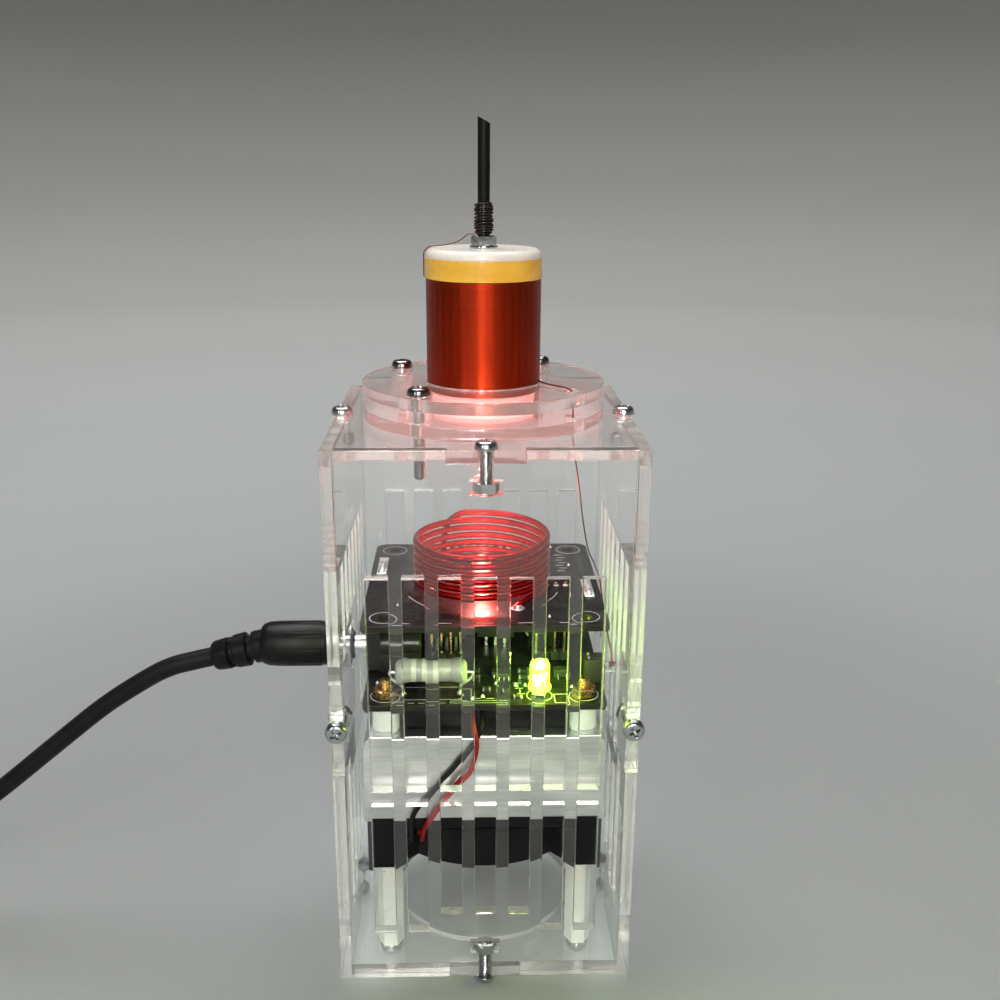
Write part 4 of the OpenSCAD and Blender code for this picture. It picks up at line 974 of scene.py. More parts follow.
def make_ties():
    """Two hook-and-loop ties round the coil's bundle, each with an overlapped end."""
    form = Form()
    thick, wide, play = 0.6, 4.0, 0.3
    top = COIL_HIGH + CORD_D / 2 + play + thick / 2
    for first in (4, 13):
        radii = [coil_radius(i) for i in range(first, 48 * COIL_LOOPS - 6, 24)]
        inner = min(radii) - CORD_D / 2 - 1.5 * play - thick / 2
        outer = max(radii) + CORD_D / 2 + play + thick / 2
        turn = Matrix.Translation(COIL_AT) @ Matrix.Rotation(math.radians(-90 - 15 * first), 4, "Z")
        bend = 1.4
        loop = []
        for x, z, start in ((outer - bend, thick / 2 + bend, -90), (outer - bend, top - bend, 0),
                            (inner + bend, top - bend, 90), (inner + bend, thick / 2 + bend, 180)):
            loop += arc(x, z, bend, start, start + 90, 6)
        strip = loop + loop[:9]
        points = []
        for i, (x, z) in enumerate(strip):
            a, b = Vector(strip[max(i - 1, 0)]), Vector(strip[min(i + 1, len(strip) - 1)])
            out = Vector((b.y - a.y, a.x - b.x)).normalized()
            lift = 0.0 if i < len(loop) else -thick * 0.9
            for s, y in ((0.5, -1), (0.5, 1), (-0.5, 1), (-0.5, -1)):
                off = out * (s * thick * 0.9 + lift)
                points.append((x + off.x, y * wide / 2, max(0.02, z + off.y)))
        form.add((points, closed_faces(len(strip), 4)), turn)
    return form.make("cord_tie_straps", [TIE_GREY], ["cord_ties"], "tie_grey", 50, "supply_lead")


cord, cord_length = make_cord()
plug, socket, straps = make_plug(), make_socket(), make_ties()


# ----------------------------------------
# Case, discs and fasteners

for panel, axis in (("bottom_plate", "Z"), ("top_plate", "Z"), ("front_panel", "Y"),
                    ("rear_panel", "Y"),
                    ("left_panel", "X"), ("right_panel", "X"), ("lower_disc", "Z"),
                    ("upper_disc", "Z"),
                    ("disc_spacers", "Z")):
    cut_sheet(panel, axis)


def screws(name, places, length, node, finish):
    """Pan-head screws: each place is a head's seat, with the head on its own +z side."""
    head, rod = pan_head(), threaded(SCREW_D / 2, length)
    form = Form()
    for place in places:
        form.add(head, place).add(rod, place)
    form.make(name, [finish], [node], "zinc_steel", 28)


def nuts(name, places, node, finish, slot, bore=SCREW_D / 2):
    """Hex nuts: each place is a nut's lower face."""
    form = Form()
    for place in places:
        form.add(hex_nut(bore), place)
    form.make(name, [finish], [node], slot, 20)


EDGES = [(0, -SEAM, 0), (SEAM, 0, 90), (0, SEAM, 180), (-SEAM, 0, 270)]
CORNERS = [(-SEAM, -1), (SEAM, -1), (SEAM, 1), (-SEAM, 1)]
STACK_AT = [(x * STACK, y * STACK) for x in (-1, 1) for y in (-1, 1)]
TOWER_AT = [polar(TOWER_R, math.radians(a)) for a in TOWER_ANGLES]

screws("lid_screws", [at(x, y, WALL_TOP, turn=a + 20) for x, y, a in EDGES], SCREW_LEN,
       "top_screws", ZINC)
screws("foot_screws", [at(x, y, FLOOR_Z, (0, 0, -1), a + 35) for x, y, a in EDGES], SCREW_LEN,
       "bottom_screws", ZINC)
screws("side_screws", [at(x, s * HALF, HOOK_Z, (0, s, 0), 30 + 20 * x) for x, s in CORNERS],
       SCREW_LEN,
       "corner_screws", ZINC)
screws("fan_post_screws", [at(x, y, FLOOR_Z, (0, 0, -1), x + y) for x, y in STACK_AT], SHEET + 5,
       "post_screws", ZINC)
screws("tower_screws", [at(x, y, DISC_TOP, turn=37 * i) for i, (x, y) in enumerate(TOWER_AT)],
       DISC_TOP - low("disc_screws").z, "disc_screws", DARK_STEEL)
nuts("lid_nuts", [at(x, y, low("top_nuts").z, turn=a + NUT_TURN) for x, y, a in EDGES], "top_nuts",
     ZINC,
     "zinc_steel")
nuts("foot_nuts", [at(x, y, low("bottom_nuts").z, turn=a + NUT_TURN) for x, y, a in EDGES],
     "bottom_nuts",
     ZINC, "zinc_steel")
nuts("side_nuts", [at(x, s * (high("corner_nuts").y - NUT_H), HOOK_Z, (0, s, 0), NUT_TURN)
                   for x, s in CORNERS], "corner_nuts", ZINC, "zinc_steel")
nuts("board_nuts", [at(x, y, LOWER_TOP, turn=NUT_TURN) for x, y in STACK_AT], "stack_nuts", BRASS,
     "brass")
nuts("rod_nut_pair", [at(0, 0, low("rod_washer").z + 0.5, turn=8),
                      at(0, 0, low("rod_nuts").z, turn=8)], "rod_nuts", ZINC, "zinc_steel",
     bore=ROD_R)

dress("rod_washer", ZINC, 0.08)
dress("hex_posts", NYLON, 0.3)
dress("board_spacers", WHITE, 0.35)


def make_studs():
    """Brass studs, threaded at both ends."""
    bottom, top = low("stack_studs").z, high("stack_studs").z
    grip = 8.0
    form = Form()
    for x, y in STACK_AT:
        form.add(threaded(SCREW_D / 2, grip), at(x, y, top - grip, (0, 0, -1)))
        form.add(threaded(SCREW_D / 2, grip), at(x, y, bottom + grip))
        form.add(revolve([(1.3, bottom + grip - 0.1), (1.36, bottom + grip), (1.36, top - grip),
                          (1.3, top - grip + 0.1)], 24), at(x, y, 0))
    form.make("brass_studs", [BRASS], ["stack_studs"], "brass", 28)


make_studs()


# ----------------------------------------
# Fan and heat sink

dress("fan_frame", FAN_BLACK, 0.35)
dress("fan_impeller", FAN_BLACK, 0.14)
dress("fan_bearing", BRASS, 0.1)
dress("fan_magnet", MAGNET, 0.1)
dress("fan_shaft", POLISHED, 0.2)
dress("fan_stator", COIL_COPPER, 0.2)
dress("heat_sink", ALUMINIUM, 0.3)

FACE_Y = low("heat_sink").y - 1.3 / 2 - 0.2


def make_fan_lead():
    """Red and black wires from the lower board, down the heat sink's face, into a fan lug."""
    far = FACE_Y - 1.4
    ear = 4.8 * math.sqrt(2)

    def into_ear(x):
        return [(x + 1.2, -28.2, SINK_Z - 7.6), (x + 0.9, x - ear - 1.1, SINK_Z - 8),
                (x, x - ear - 0.2, SINK_Z - 8)]

    red = [(-3, -26, LOWER_Z), (-3, -26, LOWER_Z - 1.3), (-3, -27, LOWER_Z - 2.2),
           (-3, -29.3, LOWER_Z - 2.7), (-2.8, FACE_Y, LOWER_Z - 4), (-2.4, far, SPACER_Z + 1.5),
           (-2.2, far, SPACER_Z - 2.5), (-3.5, far, SPACER_Z - 7.5),
           (-6, far + 0.1, SPACER_Z - 10.9),
           (-9.3, far + 0.4, SINK_Z + 8.5), (-12.8, far + 0.8, SINK_Z + 3),
           (-15, FACE_Y - 0.1, SINK_Z - 1.4),
           (-16, FACE_Y, SINK_Z - 5)] + into_ear(-17.2)
    black = [(-0.6, -26, LOWER_Z), (-0.6, -26, LOWER_Z - 1.3), (-0.6, -27, LOWER_Z - 2.2),
             (-0.6, -29.3, LOWER_Z - 2.7), (-0.8, FACE_Y, LOWER_Z - 4.2),
             (-1.8, FACE_Y, SPACER_Z + 0.5),
             (-4.4, FACE_Y, SPACER_Z - 3.5), (-8, FACE_Y, SPACER_Z - 8.5),
             (-12, FACE_Y, SINK_Z + 10.4),
             (-16, FACE_Y, SINK_Z + 5.3), (-18.4, FACE_Y, SINK_Z + 1),
             (-18.9, FACE_Y, SINK_Z - 5)] + into_ear(-20)
    form = Form().add(sweep(smooth_path(red, 8), 0.65, 14))
    form.add(sweep(smooth_path(black, 8), 0.65, 14), kind=1)
    form.make("fan_wires", [RED_WIRE, BLACK_WIRE], ["fan_lead"], "fan_lead_red")


make_fan_lead()


# ----------------------------------------
# Boards and what stands on them

dress("lower_board", BOARD_BLACK, 0.1)
dress("upper_board", BOARD_BLACK, 0.1)

RESISTOR_AT = Vector((-13.4, -24, LOWER_TOP + 6.5))
TERMINAL_AT = Vector((28.4, -16.5, LOWER_TOP))
PITCH = 2.54
PINS_AT = [(x + (i - (pins - 1) / 2) * PITCH, y)
           for x, y, pins in ((-1, BOARD - 3.5, 14), (-10, -5, 4), (18, -4, 4))
           for i in range(pins)]
INK = 0.03


def outline_frame(form, x0, y0, x1, y1, z):
    """A thin printed rectangle."""
    wide = 0.18
    for x, y, w, d in ((x0, (y0 + y1) / 2, wide, y1 - y0 + wide),
                       (x1, (y0 + y1) / 2, wide, y1 - y0 + wide),
                       ((x0 + x1) / 2, y0, x1 - x0, wide), ((x0 + x1) / 2, y1, x1 - x0, wide)):
        form.add(block((w, d, INK), 0), at(x, y, z + INK / 2))


def dash(form, x, y, long, z, turn=0, wide=0.2):
    """A short printed bar."""
    form.add(block((long, wide, INK), 0), at(x, y, z + INK / 2, turn=turn))


def pad(form, x, y, z, outer=0.75, inner=0.35):
    """A tinned ring with its solder cone."""
    form.add(revolve([(outer, 0), (outer, 0.05), (inner + 0.12, 0.3), (inner * 0.6, 0.62),
                      (0.05, 0.66)], 20),
             at(x, y, z), 1)


def make_prints():
    """Printed outlines and tinned pads on both boards."""
    upper = Form()
    z = UPPER_TOP
    for x, y in STACK_AT:
        upper.add(annulus(3.3, 3.45, z, z + INK), at(x, y, 0))
    for start in (205, 318):
        for k in range(10):
            a = start + 2.6 * k
            x, y = polar(20.7, math.radians(a))
            dash(upper, PRIMARY_AT.x + x, PRIMARY_AT.y + y, 0.96, z, a + 90, 0.16)
    outline_frame(upper, -16, 25.0, 14, 29.0, z)
    for k in range(7):
        dash(upper, 21.5 + 0.9 * (k % 2), 20.5 - 2.1 * k, 2.2, z)
    for k in range(5):
        dash(upper, -20.5 + 10.2 * k, -28.6, 4.2, z)
        dash(upper, -14 + 5 * k, 22.6, 2.4, z)
    for x, y in PINS_AT:
        pad(upper, x, y, z)
    for x, y in ((-22, -16), (24, 12), (20, 27), (16, -25)):
        pad(upper, x, y, z, 0.4, 0.15)
    upper.make("upper_board_print", [PRINT, SOLDER], slot="solder")
    lower = Form()
    z = LOWER_TOP
    for x, y in STACK_AT:
        lower.add(annulus(3.6, 3.78, z, z + INK), at(x, y, 0))
    outline_frame(lower, RESISTOR_AT.x - 10, RESISTOR_AT.y - 3.4, RESISTOR_AT.x + 10,
                  RESISTOR_AT.y + 3.4, z)
    outline_frame(lower, -8.5, -29.3, 5.5, -28.2, z)
    outline_frame(lower, 17.5, -29.6, 21.0, -25.0, z)
    lower.add(annulus(3.1, 3.3, z, z + INK), at(STATUS_AT.x, STATUS_AT.y, 0))
    for k in range(6):
        dash(lower, -21 + 2.6 * k, -29.2, 1.6, z)
        dash(lower, 8.4 + 0.2 * k, -18.6 - 1.5 * k, 2.0, z, 90 * (k % 2))
    for k in range(4):
        dash(lower, -5.5 + 3.4 * k, -27.0, 2.2, z)
        dash(lower, 24.5, -24.5 + 1.7 * k, 1.8, z)
    for x, y in ((-3, -26), (-0.6, -26), (8, -20), (10.5, -20), (22.5, -20), (-27.5, -18),
                 (3, -19)):
        pad(lower, x, y, z, 0.6, 0.25)
    lower.make("lower_board_print", [PRINT, SOLDER], slot="solder")


def make_solder_pads():
    """Two tinned strips with long solder beads, where cables of another layout would join."""
    form = Form()
    for x, y in ((-27.6, 12), (27.4, -6)):
        form.add(block((2.6, 13, 0.34), 0.1), at(x, y, UPPER_TOP + 0.17))
        rows, steps = 25, 12
        points = []
        for i in range(rows):
            f = i / (rows - 1)
            fat = math.sin(math.pi * min(1, max(0, f))) ** 0.35 if 0 < f < 1 else 0.03
            lump = 1 + 0.16 * noise.noise(Vector((x, f * 6, 0.3)))
            for k in range(steps):
                a = math.pi * k / (steps - 1)
                points.append((x + 1.15 * fat * math.cos(a), y - 6 + 12 * f,
                               UPPER_TOP + 0.3 + 0.85 * fat * lump * math.sin(a)))
        faces = [[i * steps + k, i * steps + k + 1, (i + 1) * steps + k + 1, (i + 1) * steps + k]
                 for i in range(rows - 1) for k in range(steps - 1)]
        form.add((points, faces))
    form.make("solder_strips", [SOLDER], ["solder_pads"], "solder", 40)


def make_headers():
    """Pin strips between the boards, notched between the pins."""
    form = Form()
    pin = 0.64
    gap = UPPER_Z - LOWER_TOP
    notch = [(-1.27, -0.85), (-0.85, -1.25), (0.85, -1.25), (1.27, -0.85),
             (1.27, 0.85), (0.85, 1.25), (-0.85, 1.25), (-1.27, 0.85)]
    for x, y in PINS_AT:
        outline = [(x + dx, y + dy) for dx, dy in notch]
        form.add(slab(outline, LOWER_TOP, LOWER_TOP + 2.5))
        form.add(slab(outline, LOWER_TOP + gap - 8.5, UPPER_Z))
        form.add(block((pin, pin, gap - 3), 0.05, 1), at(x, y, LOWER_TOP + 1 + (gap - 3) / 2), 1)
        form.add(block((pin, pin, 1.0), 0.12, 1), at(x, y, UPPER_TOP + 0.45), 1)
    form.make("pin_headers", [HEADER_BLACK, GOLD], ["board_headers"], "header_black")


def make_jack():
    """Barrel jack: square mouth, round back, sprung contact and centre pin."""
    x0 = -BOARD
    wide, tall, long = 9.0, 10.9, 14.0
    axis_h = JACK_Z - LOWER_TOP
    form = Form()
    mouth = 3.15
    face = arc(0, 0, mouth, 0, 360, 48)[:-1]
    outer = []
    for y, z in face:
        a = math.atan2(z, y)
        limit_z = tall - axis_h if z > 0 else axis_h
        k = min(wide / 2 / max(1e-6, abs(math.cos(a))), limit_z / max(1e-6, abs(math.sin(a))))
        outer.append((k * math.cos(a), k * math.sin(a)))
    rows = ((11.0, face, 1), (0.35, face, 1), (0.0, face, 1.1), (0.0, outer, 0.97),
            (0.25, outer, 1),
            (3.4, outer, 1))
    points = [(x0 + d, JACK_Y + y * wider, JACK_Z + z * wider) for d, row, wider in rows
              for y, z in row]
    form.add((points, grid_faces(len(rows), len(face))))
    form.add(block((long - 3.3, wide, 5), 0.3),
             at(x0 + 3.35 + (long - 3.4) / 2, JACK_Y, LOWER_TOP + 2.5))
    form.add(revolve([(mouth + 0.05, 3.2), (4.3, 3.2), (4.3, long - 0.5), (3.9, long), (0.2, long),
                      (0.2, 11.1), (mouth + 0.05, 11.1)], 48), at(x0, JACK_Y, JACK_Z, (1, 0, 0)))
    form.add(revolve([(0.2, 12), (0.97, 12), (0.97, 1.6), (0.75, 1.15), (0.2, 1.0)], 24),
             at(x0, JACK_Y, JACK_Z, (1, 0, 0)), 1)
    form.add(block((8.5, 1.2, 0.3), 0.1, 1), at(x0 + 6.5, JACK_Y, JACK_Z - 3.0), 1)
    for dx, dy in ((13.6, 0), (7.5, 0), (10.5, 4.4)):
        form.add(block((0.5, 2.2, 1.2) if dy == 0 else (2.2, 0.5, 1.2), 0.1, 1),
                 at(x0 + dx, JACK_Y + dy, LOWER_TOP + 0.55), 1)
    form.make("power_jack", [JACK_BLACK, TINNED], ["dc_jack"], "jack_black")


def make_resistor():
    """Axial resistor with swollen ends, plain pale bands and bent tinned leads."""
    form = Form()
    half = 9.0
    place = at(*RESISTOR_AT, (1, 0, 0))
    side = [(-half, 0.45), (-half + 0.05, 2.2), (-half + 0.5, 2.95), (-half + 1.2, 3.2),
            (-half + 2.6, 3.2),
            (-half + 3.3, 3.02), (-half + 3.9, 2.9)]
    bands = [(-5.0, -3.7, 1), (-3.7, -2.3, 0), (-2.3, -1.0, 1), (-1.0, 0.5, 0), (0.5, 1.9, 1),
             (1.9, 5.1, 0)]
    form.add(revolve([(r, z) for z, r in side] + [(2.9, -5.0)], 48), place)
    form.add(revolve([(2.9, 5.1)] + [(r, -z) for z, r in reversed(side)], 48), place)
    for start, end, kind in bands:
        swell = 0.03 * kind
        form.add(revolve([(2.86, start), (2.9 + swell, start + 0.04), (2.9 + swell, end - 0.04),
                          (2.86, end)], 48),
                 place, kind)
    bend = [(-0.4, 0), (0.2, 0), (1.0, 0), (1.5, -0.4), (1.3, -1.3), (0.2, -2.4), (-1.3, -3.5),
            (-1.8, -4.5),
            (-1.8, -5.6), (-1.8, -6.45)]
    for s in (-1, 1):
        line = [RESISTOR_AT + Vector((s * (half + dx), 0, dz)) for dx, dz in bend]
        form.add(sweep(smooth_path(line, 6), 0.4, 12), kind=2)
        foot = line[-1]
        form.add(revolve([(0.95, 0), (0.95, 0.06), (0.6, 0.3), (0.42, 0.8), (0.05, 0.85)], 20),
                 at(foot.x, foot.y, LOWER_TOP), 2)
    form.make("axial_resistor", [RESISTOR, BAND, TINNED], ["power_resistor"], "resistor_grey")


def make_light(name, node, place, leg, lens, core, slot):
    """A round lamp: tinted lens with a flange, lit cup and chip inside, and two legs."""
    z = place.z + leg
    here = at(place.x, place.y, z)
    dome = [(2.5 * math.cos(a), 6.1 + 2.5 * math.sin(a))
            for a in (math.radians(10 * k) for k in range(9))]
    lens_side = [(0.05, 0.0), (2.7, 0.0), (2.9, 0.12), (2.9, 0.85), (2.75, 1.0), (2.52, 1.05),
                 (2.5, 1.4)]
    form = Form().add(revolve(lens_side + dome + [(0.05, 8.6)], 48), here)
    cup = [(0.1, 3.0), (0.75, 3.0), (1.05, 3.6), (1.2, 4.3), (0.95, 4.25), (0.5, 3.85), (0.1, 3.85)]
    form.add(revolve(cup, 24), here, 1)
    form.add(revolve([(0.05, 5.9), (0.55, 6.0), (0.75, 6.5), (0.5, 7.0), (0.05, 7.1)], 20), here, 1)
    form.add(revolve([(0.1, 1.4), (0.45, 1.45), (0.55, 2.3), (0.75, 2.95), (0.1, 3.0)], 20),
             at(place.x - 0.4, place.y, z), 1)
    for x in (-PITCH / 2, PITCH / 2):
        form.add(block((0.5, 0.5, leg + 0.6), 0.06, 1),
                 at(place.x + x, place.y, place.z + (leg + 0.6) / 2 - 0.05), 2)
    form.make(name, [lens, core, TINNED], [node], slot)


def make_terminal():
    """Black pin block whose two pins stick out over the board's edge."""
    form = Form()
    x, y, z = TERMINAL_AT
    for dy in (-1.26, 1.26):
        form.add(block((5.2, 2.44, 6.4), 0.22), at(x, y + dy, z + 3.2))
    for dz in (2.4, 4.6):
        form.add(block((3.9, 0.64, 0.64), 0.1, 1), at(x + 2 + 1.9, y, z + dz), 1)
        form.add(block((0.64, 0.64, 0.8), 0.1, 1), at(x - 1.4, y + dz - 3.5, z + 6.5), 1)
    form.make("pin_block", [HEADER_BLACK, TINNED], ["ground_terminal"], "header_black")


def make_transistors():
    """Power transistors: chamfered black bodies, metal tabs with a hole, three legs each."""
    form = Form()
    y, z, thick = 5, LOWER_TOP, 1.25
    for x in (-10, 3.5):
        form.add(block((10.2, 3.1, 9), 0.35), at(x, y - 0.65, z + 7.7))
        tab = [(-5.1, 0), (5.1, 0), (5.1, 11.0), (4.7, 11.4), (4.7, 13.2), (5.1, 13.6), (5.1, 15.0),
               (4.7, 15.4),
               (-4.7, 15.4), (-5.1, 15.0), (-5.1, 13.6), (-4.7, 13.2), (-4.7, 11.4), (-5.1, 11.0)]
        lower_tab = [q for q in tab if q[1] <= 11.0]
        stand = at(x, y + 2.2, z + 3.2) @ Matrix.Rotation(math.radians(90), 4, "X")
        form.add(slab(lower_tab, 0, thick), stand, 1)
        hole_y = 12.4
        hole = arc(0, hole_y, 1.8, 0, 360, 32)[:-1]
        edge = []
        for dx, dy in ((hx, hy - hole_y) for hx, hy in hole):
            k = min(4.9 / max(1e-6, abs(dx)), (3.0 if dy > 0 else 1.4) / max(1e-6, abs(dy)))
            edge.append((dx * k, hole_y + dy * k))
        points = [(*q, d) for row, d in ((hole, 0.0), (edge, 0.0), (edge, thick), (hole, thick))
                  for q in row]
        form.add((points, grid_faces(4, len(hole), True)), stand, 1)
        for dx in (-PITCH, 0, PITCH):
            form.add(block((0.8, 0.5, 3.6), 0.08, 1), at(x + dx, y, z + 1.7), 1)
    form.make("power_transistor_pair", [PACKAGE_BLACK, TINNED], ["power_transistors"],
              "package_black")


def make_capacitors():
    """Three film blocks in a row with printed bars, and a sleeved can with a vented top."""
    form = Form()
    row_y = 16.5
    for x in (-19.5, -0.5, 18.5):
        form.add(block((17.5, 8, 14.4), 0.7, 3), at(x, row_y, LOWER_TOP + 7.25))
        form.add(block((15.6, 6.2, 0.9), 0.25), at(x, row_y, LOWER_TOP + 14.5))
        for y in (-4.02, 4.02):
            for z in (11.5, 3.4):
                form.add(block((12.5, 0.05, 0.3), 0), at(x, row_y + y, LOWER_TOP + z), 1)
    form.make("box_capacitors", [CAPACITOR_BLACK, PRINT], ["film_capacitors"], "capacitor_black")
    form = Form()
    place = at(16.8, 4.6, LOWER_TOP)
    side = [(0.3, 0), (4.7, 0), (4.95, 0.35), (4.98, 1.2), (4.7, 1.8), (4.7, 2.3), (4.98, 2.8),
            (5.0, 15.2),
            (4.8, 15.75), (4.3, 15.95), (4.2, 15.7), (4.0, 15.62), (0.05, 15.62)]
    form.add(revolve(side, 56), place)
    form.add(revolve([(0.05, 15.6), (4.05, 15.6), (4.05, 15.68), (0.05, 15.68)], 40), place, 1)
    for a in (0, 90):
        form.add(block((6.4, 0.22, 0.1), 0), place @ at(0, 0, 15.7, turn=a + 20), 2)
    for k in range(5):
        form.add(block((0.12, 1.6, 1.1), 0.04, 1), place @ at(0, 0, 0, turn=200)
                 @ Matrix.Translation((4.97, 0, 4.3 + 2.3 * k)), 2)
    form.make("can_capacitor", [SLEEVE_BLACK, POLISHED, PRINT], ["reservoir_capacitor"],
              "capacitor_black")


CHIPS = [
    ((4.5, -14), (5, 4, 1.6), 4), ((10.5, -12), (3, 1.6, 0.9), 1),
         ((10.5, -15.5), (3, 1.6, 0.9), 1),
    ((-2, -12), (2, 1.3, 0.8), 1), ((-2, -15.5), (2, 1.3, 0.8), 1),
         ((20.4, -14.5), (4.4, 3.6, 2.2), 2),
    ((5.5, -22.5), (2, 1.3, 0.8), 1), ((0.5, -22.5), (2, 1.3, 0.8), 1),
         ((-12, -12.5), (6, 4, 2), 4),
    ((-20.5, -13.5), (3.2, 2.6, 1.8), 2), ((8.2, -27), (2, 1.3, 0.8), 1),
]


def make_chips():
    """Small parts: two-ended ones with tinned ends, and packages with gull-wing legs."""
    form = Form()
    for (x, y), (w, d, h), legs in CHIPS:
        mid = LOWER_TOP + h / 2
        if legs == 1:
            form.add(block((w * 0.62, d, h), 0.08, 1), at(x, y, mid))
            for s in (-1, 1):
                form.add(block((w * 0.22, d + 0.04, h + 0.04), 0.1, 1), at(x + s * w * 0.4, y, mid),
                         1)
            continue
        form.add(block((w, d - 0.8, h - 0.15), 0.16, 2), at(x, y, mid + 0.05))
        for i in range(legs):
            lx = x + (i - (legs - 1) / 2) * w / legs
            for s in (-1, 1):
                bend = ((-0.5, mid), (-0.15, mid), (0.05, LOWER_TOP + 0.2), (0.5, LOWER_TOP + 0.14))
                form.add(sweep([(lx, y + s * (d / 2 + out), z) for out, z in bend], 0.17, 6),
                         kind=1)
    form.make("small_parts", [PACKAGE_BLACK, TINNED], ["board_chips"], "package_black")


def helix(radius, z0, z1, turns, start, per_turn):
    """Points of a helix from z0 to z1. start is in degrees."""
    count = round(turns * per_turn)
    return [polar(radius, math.radians(start + 360 * turns * i / count), z0 + (z1 - z0) * i / count)
            for i in range(count + 1)]


def make_primary():
    """Primary coil: one thick red wire, from the board up the helix and down behind it."""
    wire, turns, pitch, start = 1.7, 6.4, 2.15, -45
    radius = 36 / 2 - wire / 2
    z0 = wire / 2 + 0.3
    z1 = z0 + turns * pitch
    end = start + 360 * turns

    def around(r, a, z):
        return polar(r, math.radians(a), z)

    foot = [around(radius + 1.9, start - 17, 0), around(radius + 1.9, start - 17, 0.35),
            around(radius + 1.4, start - 13, z0 - 0.2)]
    drop = [around(radius + 0.6, end + 6, z1 - 0.1), around(radius + 1.7, end + 13, z1 - 1.3),
            around(radius + 2.5, end + 19, z1 - 3.4), around(radius + 2.7, end + 22, z1 / 2),
            around(radius + 2.7, end + 22, wire), around(radius + 2.7, end + 22, 0)]
    loops = helix(radius, z0, z1, turns, start, 72)
    line = smooth_path(foot + [loops[0]], 6)[:-1] + loops[:-1] + smooth_path([loops[-1]] + drop, 6)
    form = Form().add(sweep(line, wire / 2, 14), Matrix.Translation(PRIMARY_AT))
    for q in (foot[0], drop[-1]):
        form.add(revolve([(1.7, 0), (1.7, 0.08), (1.25, 0.35), (0.95, 1.0), (0.05, 1.05)], 24),
                 Matrix.Translation(PRIMARY_AT + Vector((q[0], q[1], 0))), 1)
    form.make("primary_winding", [RED_COIL, SOLDER], ["primary_coil"], "primary_red", 50)


make_prints()
make_solder_pads()
make_headers()
make_jack()
make_resistor()
make_light("status_lamp", "status_light", STATUS_AT, 2.0, GREEN_LENS, GREEN_CORE, "light_green")
make_light("coil_lamp", "coil_light", PRIMARY_AT, 0.0, RED_LENS, RED_CORE, "light_red")
make_terminal()
make_transistors()
make_capacitors()
make_chips()
make_primary()


# ----------------------------------------
# Tower

dress("winding_tube", TUBE_WHITE, 0.15)
dress("tube_foot", TUBE_WHITE, 0.2)
dress("end_cap", CAP)
WINDING_R = (high("secondary_winding").x - low("secondary_winding").x) / 2
WINDING_LOW = low("secondary_winding").z
WINDING_HIGH = high("secondary_winding").z


def make_winding():
    """A few hundred turns of hair-thin wire drawn as one fine helix over a wound core."""
    turns, wire = 138, 0.2
    core = high("winding_tube").x + 0.05
    form = Form()
    radius = WINDING_R - wire / 2
    line = helix(radius, WINDING_LOW + wire / 2, WINDING_HIGH - wire / 2, turns, -35, 40)
    form.add(sweep(line, wire * 0.52, 6))
    side = [(core, WINDING_LOW), (radius, WINDING_LOW), (radius, WINDING_HIGH),
            (core, WINDING_HIGH)]
    form.add(revolve(side, 96, ring=True))
    form.make("secondary_turns", [ENAMEL], ["secondary_winding"], "enamelled_copper", 60)


def make_tape():
    """Film wound one and a quarter times round the winding's top, with a lapped end."""
    bottom, top = low("insulating_tape").z, high("insulating_tape").z
    outer = high("insulating_tape").x
    inner = high("winding_tube").x + 0.05
    form = Form()
    steps, film = 120, 0.12
    rows = []
    for dz, dr in ((0, -0.30), (0, -0.02), (0.25, 0.0), (1.2, 0.0), (2.4, 0.0), (3.6, 0.0),
                   (top - bottom - 0.25, 0.0), (top - bottom, -0.02), (top - bottom, -0.30)):
        for k in range(steps):
            a = TURN * k / steps
            ripple = 0.03 * noise.noise(Vector((3 * math.cos(a), 3 * math.sin(a), dz * 1.5)))
            r = outer - film + dr + (ripple if dr > -0.1 else 0)
            rows.append(polar(r, a, bottom + dz))
    rows += circle(inner, top, steps) + circle(inner, bottom, steps)
    form.add((rows, grid_faces(len(rows) // steps, steps, True)))
    lap_steps = 40
    start, end = math.radians(150), math.radians(262)
    points = []
    for i in range(lap_steps + 1):
        a = start + (end - start) * i / lap_steps
        skew = 0.12 * math.sin(5 * a)
        for r, z in ((outer - film - 0.02, bottom + 0.15 + skew), (outer, bottom + 0.15 + skew),
                     (outer, top - 0.2 + skew * 0.5),
                     (outer - film - 0.02, top - 0.2 + skew * 0.5)):
            points.append(polar(r, a, z))
    form.add((points, [f[::-1] for f in closed_faces(lap_steps + 1, 4)]))
    form.make("film_band", [TAPE], ["insulating_tape"], "yellow_tape", 40)


def make_rod():
    """Discharge rod in a tight black sleeve, cut on a slant at its tip."""
    bottom, top = low("discharge_rod").z, high("discharge_rod").z
    form = Form()
    steps, rows = 40, 46
    points = []
    slope = math.tan(math.radians(28))
    sleeve_z = CAP_TOP + 11
    for i in range(rows + 1):
        z = bottom + (top - bottom) * i / rows
        for k in range(steps):
            a = TURN * k / steps
            swell = 0.05 * noise.noise(Vector((math.cos(a), math.sin(a), z * 0.35)))
            r = ROD_R - 0.06 + swell - (0.0 if z > sleeve_z else 0.05)
            cut = top - slope * (r * math.cos(a) + ROD_R)
            points.append(polar(r, a, min(z, cut)))
    form.add((points, closed_faces(rows + 1, steps)))
    form.make("sleeved_rod", [ROD_BLACK], ["discharge_rod"], "rod_black", 45)


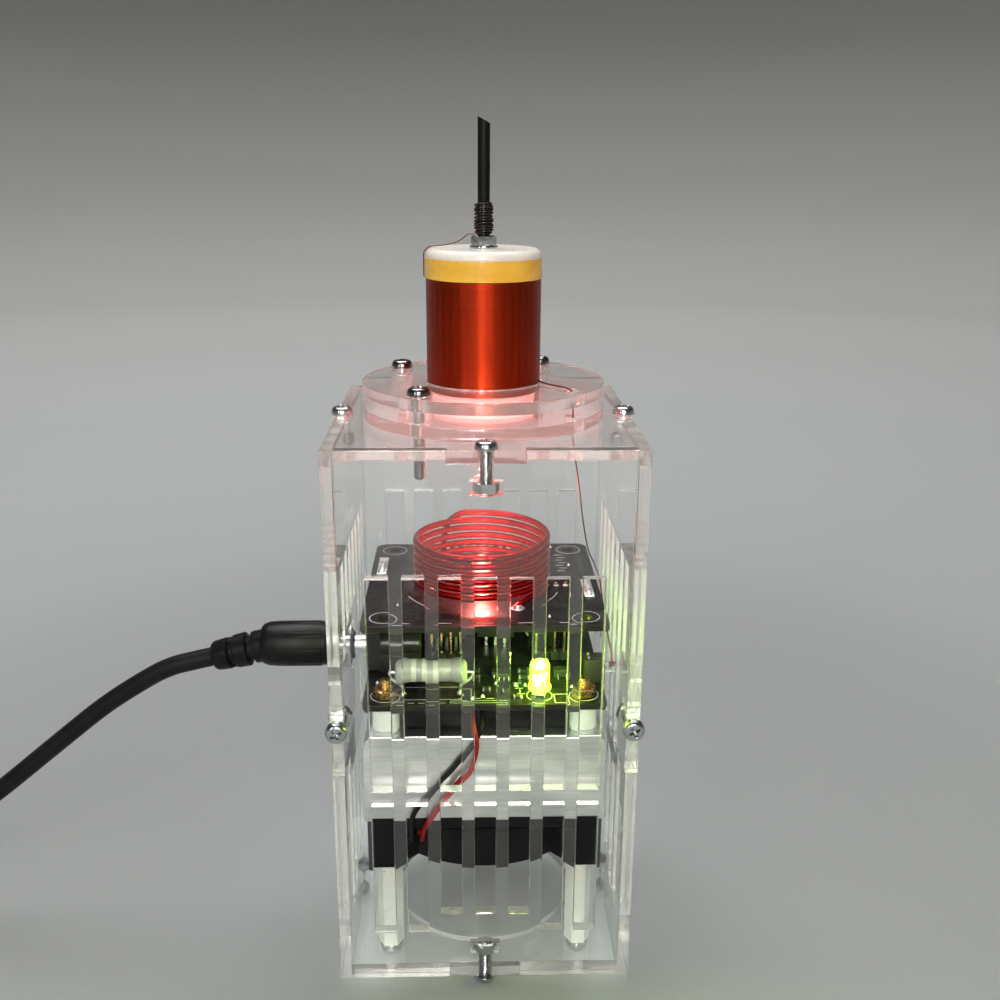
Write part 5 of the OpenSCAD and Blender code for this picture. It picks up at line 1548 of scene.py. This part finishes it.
def make_wrap():
    """Dark wire wound untidily round the rod's foot, and a few turns back over it."""
    z0, z1 = low("rod_wrap").z, high("rod_wrap").z
    wire = 0.25
    form = Form()
    for lift, turns, start, bottom, top in ((0.0, 12, 60, 0.1, 0.0), (0.34, 5.3, 200, 0.6, 3.1),
                                            (0.30, 3.6, 20, 4.2, 0.3)):
        count = round(turns * 24)
        line = []
        for i in range(count + 1):
            f = i / count
            a = math.radians(start + 360 * turns * f)
            wander = noise.noise(Vector((f * turns * 2.3, lift * 9, 0.2)))
            r = ROD_R + wire + 0.03 + lift + 0.16 * abs(wander)
            z = z0 + wire + bottom + (z1 - z0 - 2 * wire - bottom - top) * f + 0.55 * wander
            line.append(polar(r, a, min(z1 - wire, max(z0 + wire, z))))
        form.add(sweep(line, wire, 8))
    form.make("rod_wire_wrap", [WRAP_WIRE], ["rod_wrap"], "dark_wire", 60)


def make_leads():
    """The two thin wires of the winding: one up to the nut, one down to the pin."""
    cap_wire, pin_wire = 0.13, 0.2
    tape_z = low("insulating_tape").z
    side = high("insulating_tape").x + 0.15
    shoulder = high("end_cap").x - 1.8
    round_r = side - shoulder
    wrap_z = low("rod_wrap").z
    up = [(-side, -1, tape_z + 0.2)]
    up += [(-shoulder - round_r * math.cos(a), -1, CAP_TOP - 1.8 + round_r * math.sin(a))
           for a in (math.radians(30 * k) for k in range(4))]
    up += [(-9, -0.8, CAP_TOP + 0.8), (-6, -0.6, CAP_TOP + 1.7), (-4, -0.5, wrap_z + 0.2),
           (-3.2, -0.4, wrap_z + 0.32), (-2.3, -0.4, wrap_z + 0.32)]
    form = Form().add(sweep(smooth_path(up, 8), cap_wire, 10))
    form.make("cap_wire", [DARK_WIRE], ["top_lead"], "dark_wire")
    hole_x, hole_y = polar(TOWER_R, math.radians(324))
    edge = BOARD + 0.8
    pin_x = TERMINAL_AT.x + 4.7
    down = [(13.5, -6.4, DISC_TOP + 0.6), (15.3, -9.5, DISC_TOP + 0.5),
            (17.8, -12.4, DISC_TOP + 0.45),
            (hole_x - 1.4, hole_y + 0.9, DISC_TOP + 0.4),
            (hole_x - 0.5, hole_y + 0.3, DISC_TOP - 0.3),
            (hole_x - 0.1, hole_y, DISC_TOP - 1.6), (hole_x, hole_y, DISC_TOP - 4),
            (hole_x, hole_y, LID_Z - 1),
            (22.5, -14.6, LID_Z - 6), (23.9, -12, LID_Z - 14), (25.4, -7.5, UPPER_TOP + 20),
            (27.6, -2, UPPER_TOP + 10), (29.9, 0.6, UPPER_TOP + 4.4), (edge, -0.6, UPPER_TOP + 0.6),
            (edge + 0.2, -4.5, UPPER_Z - 1), (edge + 0.5, -9.5, UPPER_Z - 5),
            (edge + 1.1, -13.6, UPPER_Z - 9.4),
            (pin_x, TERMINAL_AT.y, LOWER_TOP + 6.4), (pin_x, TERMINAL_AT.y, LOWER_TOP + 4.97)]
    form = Form().add(sweep(smooth_path(down, 8), pin_wire, 10))
    form.add(sweep(helix(0.55, -0.9, 0.9, 3.5, 0, 16), pin_wire, 8),
             at(pin_x, TERMINAL_AT.y, LOWER_TOP + 4.6, (1, 0, 0)))
    form.make("pin_wire", [DARK_WIRE], ["ground_lead"], "dark_wire")


make_winding()
make_tape()
make_rod()
make_wrap()
make_leads()
